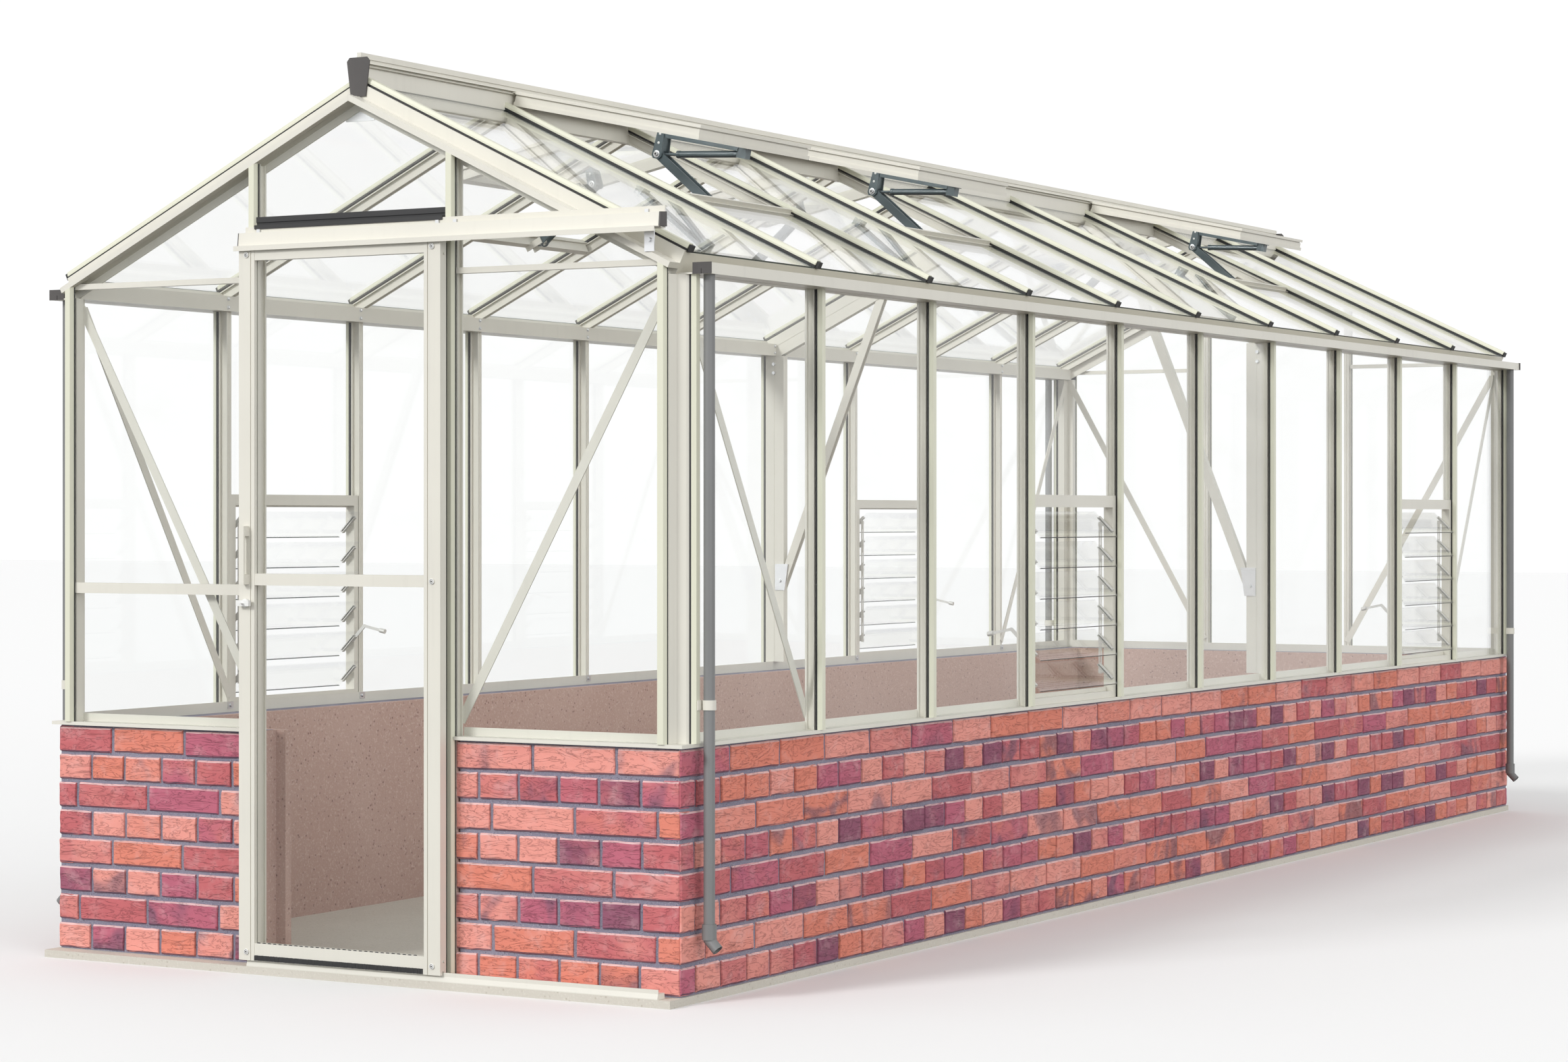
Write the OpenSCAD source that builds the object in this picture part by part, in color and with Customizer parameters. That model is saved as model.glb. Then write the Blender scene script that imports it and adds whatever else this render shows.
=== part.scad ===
/* [Plan] */
// Distance between the centres of neighbouring glazing bars
bay_w = 622.3; // [600:0.1:660]
// Number of bays along each side
side_bays = 10; // [10:1:14]
// From the end face of the bricks to the first and last side bar
side_end = 57; // [55:0.5:62]
// From the side face of the bricks to the corner bar of the gable
gable_end = 48.8; // [46:0.1:55]

/* [Base and walls] */
// Thickness of the foundation slab
slab_t = 20; // [10:1:60]
// How far the slab stands out in front of the door
slab_nose = 49; // [49:1:120]
// Height of one brick course with its joint
course_h = 75; // [65:1:85]
// Number of courses in the dwarf wall
courses = 8; // [6:1:8]
// Thickness of the outer brick leaf
brick_t = 102; // [90:1:110]
// Thickness of the inner rendered leaf
facing_t = 24; // [15:1:40]
// From the door mullion centre to the end of the brick wall
reveal_set = 12.85; // [12.5:0.05:20]
// How far the rendered leaf stands past the end of the bricks in the doorway
facing_lap = 33; // [0:1:40]

/* [Cill] */
// Thickness of the cill plate on the wall
cill_t = 9; // [6:0.5:12]
// How far the cill lip stands out past the bricks
cill_lip = 10; // [6:0.5:16]
// Height of the upstand behind the bars
upstand_h = 21; // [15:1:28]
// Thickness of the upstand
upstand_t = 3; // [2:0.5:4]

/* [Glass and gaskets] */
// Thickness of the glass
glass_t = 4; // [3:0.5:5]
// Gap between the edges of two neighbouring panes
pane_gap = 12.3; // [10:0.1:14]
// How far the glass lies behind the brick face
glass_set = 3.75; // [2:0.25:6]
// Height of the rubber gasket between the glass and the bar cap
gasket_t = 6; // [4:0.5:8]

/* [Glazing bars and caps] */
// Depth of a glazing bar behind the glass
bar_depth = 28; // [26:0.5:30]
// Width of the bar flange that the panes lie on
bar_w = 24; // [20:0.5:26]
// Thickness of the bar flange
flange_t = 3; // [2:0.5:5]
// Width of the bar web and of the rib between two panes
web_w = 8; // [5:0.5:9]
// Width of the inner foot of the bar
foot_w = 20; // [14:0.5:24]
// Thickness of the inner foot of the bar
foot_t = 5; // [4:0.5:8]
// Width of the snap-on cap at its base
cap_w = 24; // [20:0.5:26]
// Width of the outer face of the cap
cap_face = 17; // [10:0.5:18]
// Height of the cap
cap_t = 12.5; // [8:0.5:16]

/* [Corner posts] */
// How far the re-entrant arris lies inside the glass planes
arris_in = 24.85; // [20:0.05:27]

/* [Roof] */
// Slope of the roof
roof_pitch = 25.64; // [24:0.01:28]
// Height of the roof glass above the slab, over the side glass
eave_h = 1797; // [1790:1:1900]
// How far the roof glass ends inside the side glass plane
roof_glass_set = 3.5; // [2:0.5:6]
// From the underside of the eave beam to the roof glass over the side glass
eave_drop = 55; // [50:1:60]
// Inner face of the eave beam, measured in from the side glass plane
eave_deep = 48.5; // [44:0.5:56]

/* [Gutters and pipes] */
// Outer face of the gutter, measured out from the side glass plane
gutter_out = 61.5; // [50:0.5:80]
// Inner edge of the gutter, measured out from the side glass plane
gutter_in = 13.5; // [12:0.5:16]
// Height of the gutter's outer wall
gutter_h = 27; // [20:1:40]
// Wall thickness of the gutter
gutter_t = 3; // [2:0.5:4]
// Outer diameter of a downpipe
pipe_d = 28; // [24:1:29]
// Wall of a downpipe
pipe_wall = 2.5; // [2:0.5:4]
// Height of the bend at the foot of a downpipe above the slab
pipe_foot = 135; // [110:5:200]
// Height of a pipe clip above the slab
clip_z = 690; // [650:5:1200]
// Height of the band of a pipe clip
clip_h = 24; // [16:1:40]

/* [Gable rafters] */
// From the gable glass plane in to the front of the rafter web
rafter_in = 28.25; // [27:0.25:32]
// Thickness of the rafter web
rafter_t = 5; // [3:0.5:6]
// Depth of the rafter web below the roof glass, measured square to it
rafter_h = 67; // [62:0.5:72]
// From the gable glass plane out to the front of the rafter lip
lip_out = 18; // [12:0.5:18]
// Top of the rafter lip below the roof glass, measured square to it
lip_top = 32.7; // [30:0.1:36]
// Thickness of the rafter lip
lip_t = 15; // [12:0.5:18]

/* [Front gable rails] */
// Height of the eave ties above the slab
tie_z = 1764; // [1760:1:1768]
// Height of one tie bar
tie_h = 15; // [12:1:18]
// Height of the mid rail of the left front panel above the slab
mid_z = 953; // [900:1:1100]
// Height of the mid rail
mid_h = 28; // [20:1:36]
// Height of the header bar over the door above the slab
header_z = 1880; // [1876:1:1890]
// Height of the header bar
header_h = 51; // [40:1:60]

/* [Ridge] */
// Half the width of the ridge body
ridge_hw = 13; // [11:0.5:15]
// Underside of the ridge below the peak of the glass
ridge_under = 38.7; // [34:0.1:42]
// Top of the ridge body above the peak of the glass
ridge_over = 53.3; // [51:0.1:58]
// Height of the ridge fin with its gasket
fin_h = 21.5; // [12:0.5:26]
// Width of the ridge fin
fin_w = 12; // [6:0.5:16]

/* [Portal frame] */
// Number of the side bar that the portal stands at
portal_bar = 6; // [4:1:7]
// Width of the portal posts and rafters
portal_w = 28; // [20:1:30]
// Depth of the portal posts and rafters
portal_deep = 75; // [65:1:85]
// Width of a knee brace
knee_w = 24; // [16:1:28]
// Depth of a knee brace
knee_deep = 30; // [20:1:40]
// Height where a knee brace meets the post, above the slab
knee_z = 935; // [850:5:1200]
// Half-width where a knee brace meets the rafter
knee_x = 500; // [400:5:600]

/* [Flat braces] */
// Width of the flat corner braces
brace_w = 25; // [20:1:40]
// Thickness of the flat corner braces
brace_t = 3; // [2:0.5:4]

/* [Roof vents] */
// Length of a vent from its hinge down the slope
vent_len = 614; // [600:1:640]
// Thickness of the vent frame
vent_t = 40; // [34:0.5:44]
// Gap between a vent and the caps beside it
vent_gap = 3; // [2:0.5:6]
// Width of the vent rails
vent_rail = 30; // [24:1:40]
// How far the vents stand open in the rest position
vent_rest = 13.64; // [10:0.01:16]
// Height of the closed vent's underside above the roof glass
vent_lift = 12; // [11.6:0.1:14]
// Hinge pin radius
bead_r = 4; // [3:0.5:5]
// Running clearance of the hinge bead and of the pivot pins
pin_clear = 0.1; // [0.05:0.01:0.1]
// Hinge axis from the middle of the ridge
hinge_x = 17; // [17:0.5:20]
// Hinge axis above the peak of the glass
hinge_up = 43.3; // [42:0.1:46]

/* [Vent openers] */
// Pivot of the opener arm along the vent from the hinge
pivot_along = 318; // [300:1:340]
// Pivot of the opener arm below the hinge, square to the vent
pivot_down = 93; // [85:1:100]
// Radius of the opener's pivot bolt and foot pin
bolt_r = 5; // [4:0.5:6]
// Outer radius of the wax cylinder
cylinder_r = 9.5; // [9:0.5:11]
// Foot pin of the arm down the slope from the peak
foot_along = 571.4; // [560:0.1:580]
// Foot pin of the arm below the roof glass
foot_down = 34.9; // [33:0.1:40]
// Play of the open pivot at the foot of the arm
foot_play = 5; // [5:0.5:6]
// Depth of the arm straps
arm_deep = 24; // [20:1:26]

/* [Louvre windows] */
// Underside of the transom over a louvre window above the slab
transom_z = 1190; // [1188:1:1230]
// Height of the transom
transom_h = 31; // [20:1:40]
// Distance between neighbouring louvre pivots
louvre_pitch = 89.2; // [86:0.1:90]
// Number of blades in a louvre window
louvre_count = 6; // [6:1:6]
// Width of a glass blade
blade_w = 106; // [100:1:106]
// Tilt of the blades in the rest position
blade_tilt = 45; // [40:1:50]
// Blade pivots behind the outer face of the glass
louvre_set = 18.5; // [17:0.5:19]
// Radius of the pivot pins of the blades
blade_pin_r = 3; // [2:0.5:4]
// Distance of the operating bar from the blade pivots
crank_r = 22; // [18:1:24]

/* [Sliding door] */
// How far each edge of the closed door laps over the middle of its mullion
door_lap = 5.85; // [4.85:0.5:10.85]
// Underside of the door above the slab
door_z = 17; // [16:0.5:19]
// Top of the door above the slab
door_top = 1846; // [1845:0.5:1846]
// Thickness of the door frame
door_t = 25; // [20:1:26]
// Back of the door in front of the brick face
door_off = 32; // [32:1:34]
// Width of the door stiles
stile_w = 50; // [40:1:60]
// Height of the door's top rail
top_rail_h = 31; // [24:1:50]
// Height of the door's bottom rail
bottom_rail_h = 45; // [35:1:60]
// Height of the door's middle rail above the slab
door_mid_z = 981; // [900:1:1100]
// Height of the door's middle rail
door_mid_h = 30; // [20:1:40]
// How deep the door panes sit in the frame
door_bite = 6; // [4:0.5:8]

/* [Door track] */
// How far the track runs past the left edge of the closed door
track_start = 10; // [8:1:23]
// How far the track runs past the right corner bar
track_over = 15.55; // [11.55:1:21.55]
// Thickness of the track's walls
track_t = 3; // [2.5:0.5:3]
// Top of the hood above the top of the door
hood_rise = 42; // [42:1:48]
// How far the hood hangs down over the top of the door
hood_lap = 6; // [4:0.5:8]
// How far the hood stands out from the caps
hood_out = 53; // [51:1:56]
// Radius of a hanger roller
roller_r = 8; // [6:0.5:8]
// Width of a hanger roller
roller_w = 6; // [4:0.5:6]
// Distance of each roller from the middle of the door
roller_x = 250; // [150:5:280]
// Height of the threshold
threshold_h = 14; // [10:1:14]

/* [Door furniture] */
// Distance between the screws of the handle
handle_span = 126; // [100:1:200]
// Height of the handle's lower screw above the slab
handle_z = 995; // [950:1:1040]
// How far the handle stands out from the door
handle_out = 22; // [18:1:30]
// Height of the lock above the slab
lock_z = 935; // [900:1:950]
// Radius of the lock's boss
lock_r = 11; // [9:0.5:13]

/* [Hidden] */
gable_bays = 3;
vents_right = [2, 4, 8];
vents_left = [3, 5, 9];
louvres_right = [4, 9];
louvres_left = [2, 8];

hw = gable_bays / 2 * bay_w + gable_end;
hl = side_bays / 2 * bay_w + side_end;
gx = hw - glass_set;
gy = hl - glass_set;
door_bar_x = bay_w / 2;
reveal_x = door_bar_x + reveal_set;
corner_bar_x = gable_bays / 2 * bay_w;
wall_top = slab_t + courses * course_h;
cill_top = wall_top + cill_t;
bar_in = glass_t + bar_depth;
cap_top = gasket_t + cap_t;
edge = pane_gap / 2;
pane_w = bay_w - pane_gap;
post_side = gable_end - glass_set;
post_gable = side_end - glass_set;

z_peak = slab_t + eave_h + tan(roof_pitch) * gx;
eave_under = slab_t + eave_h - eave_drop;
roof_glass_x = gx - roof_glass_set;
s_end = roof_glass_x / cos(roof_pitch);
s_ridge = (ridge_hw + glass_t * sin(roof_pitch) + 0.5) / cos(roof_pitch);
eave_wall = 4;
eave_skin = 3;
eave_x = gx - eave_deep;
end_bar_in = rafter_in + rafter_t + bar_w / 2;
lip_under = lip_top + lip_t;
pipe_x = gx + 36.5;
pipe_y = gy - 75.25;
shoe_len = 34;
collar_h = 38;
collar_t = 4;
strap_t = 3;
strap_lap = 6;
ridge_bottom = z_peak - ridge_under;
ridge_top = z_peak + ridge_over;
reach = 3 * hl;

louvre_z0 = slab_t + transom_z - 56.4 - (louvre_count - 1) * louvre_pitch;
louvre_x = gx - louvre_set;
frame_in = 32;
frame_clear = 0.3;
stile_play = 1.3;
crank_t = 2;
rod_t = 3;
clip_w = 12;
clip_t = 9;
clip_len = 64;
clip_start = frame_in + stile_play + rod_t + frame_clear + crank_t;

vent_w = bay_w - cap_w - 2 * vent_gap;
hinge_n = hinge_x * sin(roof_pitch) + hinge_up * cos(roof_pitch);
vent_under = hinge_n - vent_lift;
vent_start = 13;
vent_slope = roof_pitch - vent_rest;
sill_s = foot_along + 22.1;
sill_len = 27;
pin_x = foot_along * cos(roof_pitch) - foot_down * sin(roof_pitch);
pin_z = z_peak - foot_along * sin(roof_pitch) - foot_down * cos(roof_pitch);
hinge_z = z_peak + hinge_up;
pivot_x = hinge_x + pivot_along * cos(vent_slope) - pivot_down * sin(vent_slope);
pivot_z = hinge_z - pivot_along * sin(vent_slope) - pivot_down * cos(vent_slope);
arm_len = norm([pin_x - pivot_x, pin_z - pivot_z]);
arm_angle = atan2(pivot_z - pin_z, pin_x - pivot_x);
arm_in = cylinder_r + 2;
arm_out = arm_in + 4;
ear_in = arm_out + 1;
ear_out = ear_in + 4;
// Gap that keeps the pieces of one node apart where they are screwed or bedded together
joint_gap = 0.2;

door_back = -hl - door_off;
door_front = door_back - door_t;
door_mid_y = door_back - door_t / 2;
cap_y = -gy - cap_top;
rail_under = slab_t + door_top + 4;
rail_lip_top = rail_under + track_t + 5;
roller_z = rail_lip_top + roller_r + 0.3;
door_hw = door_bar_x + door_lap;
stile_x = door_hw - stile_w / 2;
track_left = door_hw + track_start;
track_right = corner_bar_x + track_over;
hood_top = slab_t + door_top + hood_rise;
hood_low = slab_t + door_top - hood_lap;
hood_chin = hood_top - 34;
brow_out = 29.5;
chin_out = 33;
rail_out = 21;
roller_y = cap_y - rail_out + 1.5;
track_bolt_z = hood_top + 5.2;

$fn = 32;

// Height of the roof glass plane at a distance x from the middle
function roof_z(x) = z_peak - tan(roof_pitch) * abs(x);
// Point of the right slope: s down the slope, n out of the glass
function on_roof(s, n) = [s * cos(roof_pitch) + n * sin(roof_pitch),
    z_peak - s * sin(roof_pitch) + n * cos(roof_pitch)];
// Drop measured square to the slope, as a vertical drop
function plumb(n) = n / cos(roof_pitch);
function bar_y(i) = -hl + side_end + i * bay_w;
function bay_y(i) = bar_y(i) - bay_w / 2;
function blade_z(k) = louvre_z0 + (louvre_count - k) * louvre_pitch;

// Extrusions along the X and the Y axis
module run_x(len) { rotate([90, 0, 90]) linear_extrude(len) children(); }
module run_y(y1, y2) { translate([0, y2, 0]) rotate([90, 0, 0]) linear_extrude(y2 - y1) children(); }
module sides() { children(); mirror([1, 0, 0]) children(); }
module gables() { children(); mirror([0, 1, 0]) children(); }
module on_side(side) { if (side > 0) children(); else mirror([1, 0, 0]) children(); }
module slope() { translate([0, 0, z_peak]) rotate([0, roof_pitch, 0]) children(); }
module block(x1, x2, y1, y2, z1, z2) { translate([x1, y1, z1]) cube([x2 - x1, y2 - y1, z2 - z1]); }
// Round bar along the Y axis
module pin_y(x, z, r, y1, y2) {
    translate([x, y2, z]) rotate([90, 0, 0]) cylinder(h = y2 - y1, r = r);
}

// Cross-sections, with x across the bar and y outwards from the glass face
module bar_2d(depth, half = bar_w / 2) {
    inner = -glass_t - depth;
    flange = -glass_t - flange_t;
    polygon([[-web_w / 2, 0], [web_w / 2, 0], [web_w / 2, -glass_t], [half, -glass_t],
        [half, flange], [web_w / 2, flange], [web_w / 2, inner + foot_t],
        [foot_w / 2, inner + foot_t], [foot_w / 2, inner], [web_w / 2, inner],
        [0, inner + web_w / 2], [-web_w / 2, inner], [-foot_w / 2, inner],
        [-foot_w / 2, inner + foot_t], [-web_w / 2, inner + foot_t], [-web_w / 2, flange],
        [-half, flange], [-half, -glass_t], [-web_w / 2, -glass_t]]);
}
module gasket_2d() { translate([-cap_w / 2 + 1, 0]) square([cap_w - 2, gasket_t]); }
module cap_2d() {
    shoulder = gasket_t + cap_t / 3;
    polygon([[-cap_w / 2, gasket_t], [cap_w / 2, gasket_t], [cap_w / 2, shoulder],
        [cap_face / 2, cap_top], [-cap_face / 2, cap_top], [-cap_w / 2, shoulder]]);
}
module portal_2d(depth) {
    difference() {
        union() {
            translate([-portal_w / 2, -glass_t - depth]) square([portal_w, depth]);
            translate([-web_w / 2, -glass_t]) square([web_w, glass_t]);
        }
        translate([-portal_w / 2 + 3, -glass_t - depth + 3]) square([portal_w - 6, depth - 6]);
        for (k = [-1, 1]) translate([k * portal_w / 2 - 1, -glass_t - depth / 2 - 2]) square([2, 4]);
    }
}

// Plan strips along the wall, mitred at the corners, from o outside to i inside the glass planes
module side_strip(o, i) {
    end = gy - joint_gap;
    polygon([[gx + o, end + o], [gx - i, end - i], [gx - i, -end + i], [gx + o, -end - o]]);
}
module gable_strip(o, i) {
    polygon([[-gx - o, gy + o], [gx + o, gy + o], [gx - i, gy - i], [-gx + i, gy - i]]);
}
module door_gap(half) { translate([-half, -hl - 2 * slab_nose]) square([2 * half, hl]); }

// Everything under the forward lips of the gable rafters
module under_lip() {
    drop = plumb(lip_under);
    run_y(-reach / 2, reach / 2) polygon([[-gx, 0], [gx, 0], [gx, roof_z(gx) - drop],
        [0, z_peak - drop], [-gx, roof_z(gx) - drop]]);
}
// Space of the rafter webs, which the gable mullions are notched round
module web_space() {
    drop = plumb(rafter_h);
    gables() run_y(gy - 3 * bar_depth, gy - rafter_in) polygon([[-gx, roof_z(gx) - drop],
        [0, z_peak - drop], [gx, roof_z(gx) - drop], [gx, z_peak], [-gx, z_peak]]);
}
module ridge_block() { block(-ridge_hw, ridge_hw, -gy, gy, ridge_bottom, ridge_top); }
module past_middle() { block(-reach, joint_gap / 2, -reach, reach, 0, reach); }

// Outline of the right eave beam
module eave_outline() {
    down = (eave_under + eave_wall - z_peak + s_end * sin(roof_pitch)) / cos(roof_pitch);
    inner_s = (eave_x + bar_in * sin(roof_pitch)) / cos(roof_pitch);
    polygon([[eave_x, eave_under], [gx + gutter_in, eave_under],
        [gx + gutter_in, eave_under + eave_wall], on_roof(s_end, down), on_roof(s_end, -glass_t),
        on_roof(s_end - eave_wall, -glass_t), on_roof(s_end - eave_wall, -bar_in),
        on_roof(inner_s, -bar_in)]);
}
module eave_hollow() {
    polygon([[eave_x + eave_skin, eave_under + eave_wall],
        [on_roof(s_end, -bar_in - 22)[0] - 3 * eave_wall, eave_under + eave_wall],
        on_roof(s_end - 2 * eave_wall, -bar_in - eave_skin),
        [eave_x + eave_skin, on_roof(s_end - 2 * eave_wall, -bar_in - eave_skin)[1] + 8]]);
}

module foundation_slab() {
    color("tan") block(-hw, hw, -hl - slab_nose, hl, 0, slab_t);
}

module brick_wall() {
    color("indianred") translate([0, 0, slab_t]) linear_extrude(courses * course_h) difference() {
        square([2 * hw, 2 * hl], center = true);
        square([2 * (hw - brick_t), 2 * (hl - brick_t)], center = true);
        door_gap(reveal_x);
    }
}

module inner_wall() {
    inset = brick_t + facing_t;
    color("rosybrown") translate([0, 0, slab_t]) linear_extrude(courses * course_h) difference() {
        square([2 * (hw - brick_t), 2 * (hl - brick_t)], center = true);
        square([2 * (hw - inset), 2 * (hl - inset)], center = true);
        door_gap(reveal_x - facing_lap);
    }
}

// Solid of the cill over one plan strip, given by name
module cill_run(long) {
    out = glass_set + cill_lip;
    in = bar_in + upstand_t;
    translate([0, 0, wall_top]) {
        linear_extrude(cill_t) { if (long) side_strip(out, in); else gable_strip(out, in); }
        linear_extrude(cill_t + upstand_h) {
            if (long) side_strip(-bar_in, in);
            else gable_strip(-bar_in, in);
        }
    }
}
module wall_cill() {
    color("ivory") {
        sides() cill_run(true);
        cill_run(false);
        difference() {
            mirror([0, 1, 0]) cill_run(false);
            block(-reveal_x, reveal_x, -hl - slab_nose, 0, 0, reach);
        }
    }
}

// Corner post with its recessed arris, drawn by distances inside the two glass planes
module corner_2d() {
    b = bar_w / 2;
    r = web_w / 2;
    points = [[post_side - b, 0], [post_side + r, 0], [post_side + r, glass_t],
        [post_side + b, glass_t], [post_side + b, bar_in], [bar_in, bar_in],
        [bar_in, post_gable + b], [glass_t, post_gable + b], [glass_t, post_gable + r],
        [0, post_gable + r], [0, post_gable - b], [glass_t, post_gable - 1.5 * b],
        [arris_in, arris_in], [post_side - b, glass_t]];
    polygon([for (p = points) [gx - p[0], gy - p[1]]]);
}
module corner_posts() {
    color("ivory") sides() gables() translate([0, 0, cill_top])
        linear_extrude(eave_under - cill_top) corner_2d();
}

// Profile run up the right wall at a distance y along it
module up_side(y, z1, z2) {
    translate([gx, y, z1]) rotate([0, 0, -90]) linear_extrude(z2 - z1) children();
}
// Profile run up the rear gable at a distance x across it
module up_gable(x, z1, z2) { translate([x, gy, z1]) linear_extrude(z2 - z1) children(); }

module wall_bars() {
    color("ivory") {
        sides() for (i = [1:side_bays - 1]) if (i != portal_bar)
            up_side(bar_y(i), cill_top, eave_under) bar_2d(bar_depth);
        difference() {
            intersection() {
                sides() {
                    up_gable(door_bar_x, cill_top, z_peak) bar_2d(bar_depth);
                    mirror([0, 1, 0]) up_gable(door_bar_x, slab_t, z_peak) bar_2d(bar_depth);
                }
                under_lip();
            }
            web_space();
        }
    }
}

module wall_bar_caps() {
    color("beige") {
        sides() for (i = [0:side_bays]) up_side(bar_y(i), cill_top, eave_under) cap_2d();
        intersection() {
            sides() {
                gables() up_gable(corner_bar_x, cill_top, z_peak) cap_2d();
                up_gable(door_bar_x, cill_top, z_peak) cap_2d();
                mirror([0, 1, 0]) up_gable(door_bar_x, slab_t, z_peak) cap_2d();
            }
            under_lip();
        }
    }
}

// Black rubber and brush trim
module rubber_seals() {
    color("dimgray") {
        sides() {
            for (i = [0:side_bays]) up_side(bar_y(i), cill_top, eave_under) gasket_2d();
            for (i = [0:side_bays]) roof_run(i, s_end) gasket_2d();
            // Clip at the low end of each roof cap
            for (i = [0:side_bays]) slope() block(s_end, s_end + 9, roof_bar_y(i) - 8,
                roof_bar_y(i) + 8, -1, cap_top - 2);
            // Brush strip that closes the gap behind the door stile
            block(door_bar_x - 10, door_bar_x - 4, door_back + 0.3, cap_y, slab_t + threshold_h + 2,
                slab_t + door_top - 6);
        }
        intersection() {
            sides() {
                gables() up_gable(corner_bar_x, cill_top, z_peak) gasket_2d();
                up_gable(door_bar_x, cill_top, z_peak) gasket_2d();
                mirror([0, 1, 0]) up_gable(door_bar_x, slab_t, z_peak) gasket_2d();
            }
            under_lip();
        }
        // Strip over the header between the door mullions, with a lip over the track
        header_strip(header_z + header_h - 14, header_z + header_h, 12);
        header_strip(header_z + 19, header_z + header_h - 14, 9);
        lip_y = cap_y - track_t;
        lip_half = door_bar_x - cap_w / 2 - 3;
        block(-lip_half, lip_half, lip_y - 3, lip_y, hood_top + 10.5, hood_top + 21);
        block(-lip_half, lip_half, lip_y - 3, -gy - 9, hood_top + 19, hood_top + 21);
    }
}

module header_strip(z1, z2, out) {
    half = door_bar_x - cap_w / 2;
    block(-half, half, -gy - out, -gy, slab_t + z1, slab_t + z2);
}

// Side pane of the right wall in bay i, from z1 up to the eave beam
module side_pane(i, z1) {
    block(gx - glass_t, gx, bar_y(i - 1) + edge, bar_y(i) - edge, z1, eave_under);
}
// End bays are narrower, because the corner post holds the pane
module gable_pane(x1, x2, z1, z2) {
    intersection() {
        block(x1, x2, -gy, -gy + glass_t, z1, z2);
        under_lip();
    }
}
module wall_glass() {
    over = slab_t + transom_z + transom_h;
    near = door_bar_x + edge;
    far = corner_bar_x - edge;
    tie_low = slab_t + tie_z;
    tie_top = tie_low + tie_h;
    mid_low = slab_t + mid_z;
    color("lightcyan", 0.3) {
        for (i = [1:side_bays]) {
            side_pane(i, len(search(i, louvres_right)) > 0 ? over : cill_top);
            mirror([1, 0, 0]) side_pane(i, len(search(i, louvres_left)) > 0 ? over : cill_top);
        }
        gable_pane(near, far, cill_top, tie_low);
        gable_pane(-far, -near, cill_top, mid_low);
        gable_pane(-far, -near, mid_low + mid_h, tie_low);
        sides() gable_pane(near, far, tie_top, z_peak);
        gable_pane(-door_bar_x + edge, door_bar_x - edge, slab_t + header_z + header_h, z_peak);
        mirror([0, 1, 0]) {
            gable_pane(-door_bar_x + edge, door_bar_x - edge, cill_top, z_peak);
            sides() {
                gable_pane(near, far, cill_top, tie_low);
                gable_pane(near, far, tie_top, z_peak);
            }
        }
    }
}

// Rafter of the rear gable on the right slope: web under the roof edge with a forward lip
module gable_rafter() {
    difference() {
        slope() run_x(s_end) polygon([[gy - rafter_in, 0], [gy - rafter_in, -lip_top],
            [gy + lip_out, -lip_top], [gy + lip_out, -lip_under], [gy - rafter_in, -lip_under],
            [gy - rafter_in, -rafter_h], [gy - rafter_in - rafter_t, -rafter_h],
            [gy - rafter_in - rafter_t, 0]]);
        ridge_block();
        past_middle();
        block(0, reach, 0, reach, 0, eave_under);
        block(gx - cap_w / 2, reach, 0, reach, 0, eave_under + 7);
    }
}
// Horizontal bar between the right corner post and the mullion, of the front gable
module panel_rail(z, h) {
    block(door_bar_x + bar_w / 2, corner_bar_x - bar_w / 2, -gy + glass_t, -gy + 20, z, z + h);
    block(door_bar_x + edge, corner_bar_x - edge, -gy, -gy + glass_t, z, z + h);
}
module gable_frames() {
    color("ivory") {
        sides() gables() gable_rafter();
        intersection() {
            sides() gables() panel_rail(slab_t + tie_z, tie_h);
            translate([0, 0, -joint_gap]) under_lip();
        }
        mirror([1, 0, 0]) panel_rail(slab_t + mid_z, mid_h);
        block(-door_bar_x + bar_w / 2, door_bar_x - bar_w / 2, -gy, -gy + bar_depth - glass_t,
            slab_t + header_z, slab_t + header_z + header_h);
    }
}

module eave_beams() {
    half = gy - rafter_in - rafter_t;
    color("ivory") sides() run_y(-half, half) difference() {
        eave_outline();
        eave_hollow();
    }
}

module gutters() {
    half = gy - rafter_in - 2 * rafter_t;
    color("gray") sides() run_y(-half, half) difference() {
        translate([gx + gutter_in, eave_under]) square([gutter_out - gutter_in, gutter_h]);
        translate([gx + gutter_in - 1, eave_under + gutter_t])
            square([gutter_out - gutter_in - gutter_t + 1, gutter_h]);
    }
}

// Moulded caps on the ends of the ridge and the gutters
module end_caps() {
    gutter_end = gy - rafter_in - 2 * rafter_t;
    plate = 4;
    foot = ridge_hw + 10.5;
    shoulder = ridge_hw + 22.5;
    crown = ridge_hw + 14;
    top = ridge_top + 9;
    color("dimgray") gables() {
        run_y(gy - rafter_in, gy - rafter_in + plate) polygon([[-foot, ridge_bottom],
            [-5, ridge_bottom], [0, ridge_bottom + 3], [5, ridge_bottom], [foot, ridge_bottom],
            [shoulder, top - 10], [crown, top], [-crown, top], [-shoulder, top - 10]]);
        sides() run_y(gutter_end, gutter_end + plate) difference() {
            translate([gx + gutter_in + 0.3, eave_under])
                square([gutter_out - gutter_in + 4, gutter_h + 1]);
            translate([gx + (gutter_in + gutter_out) / 2, eave_under - 1]) square([1.5, gutter_h / 2]);
        }
    }
    color("dimgray") {
        end_plate(track_right, plate);
        end_plate(-track_left - track_t, track_t);
    }
}
module end_plate(x, t) {
    translate([x, 0, 0]) run_x(t) polygon([[cap_y, hood_chin], [cap_y, hood_top + 2],
        [cap_y - brow_out, hood_top], [cap_y - chin_out, hood_chin]]);
}

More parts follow.
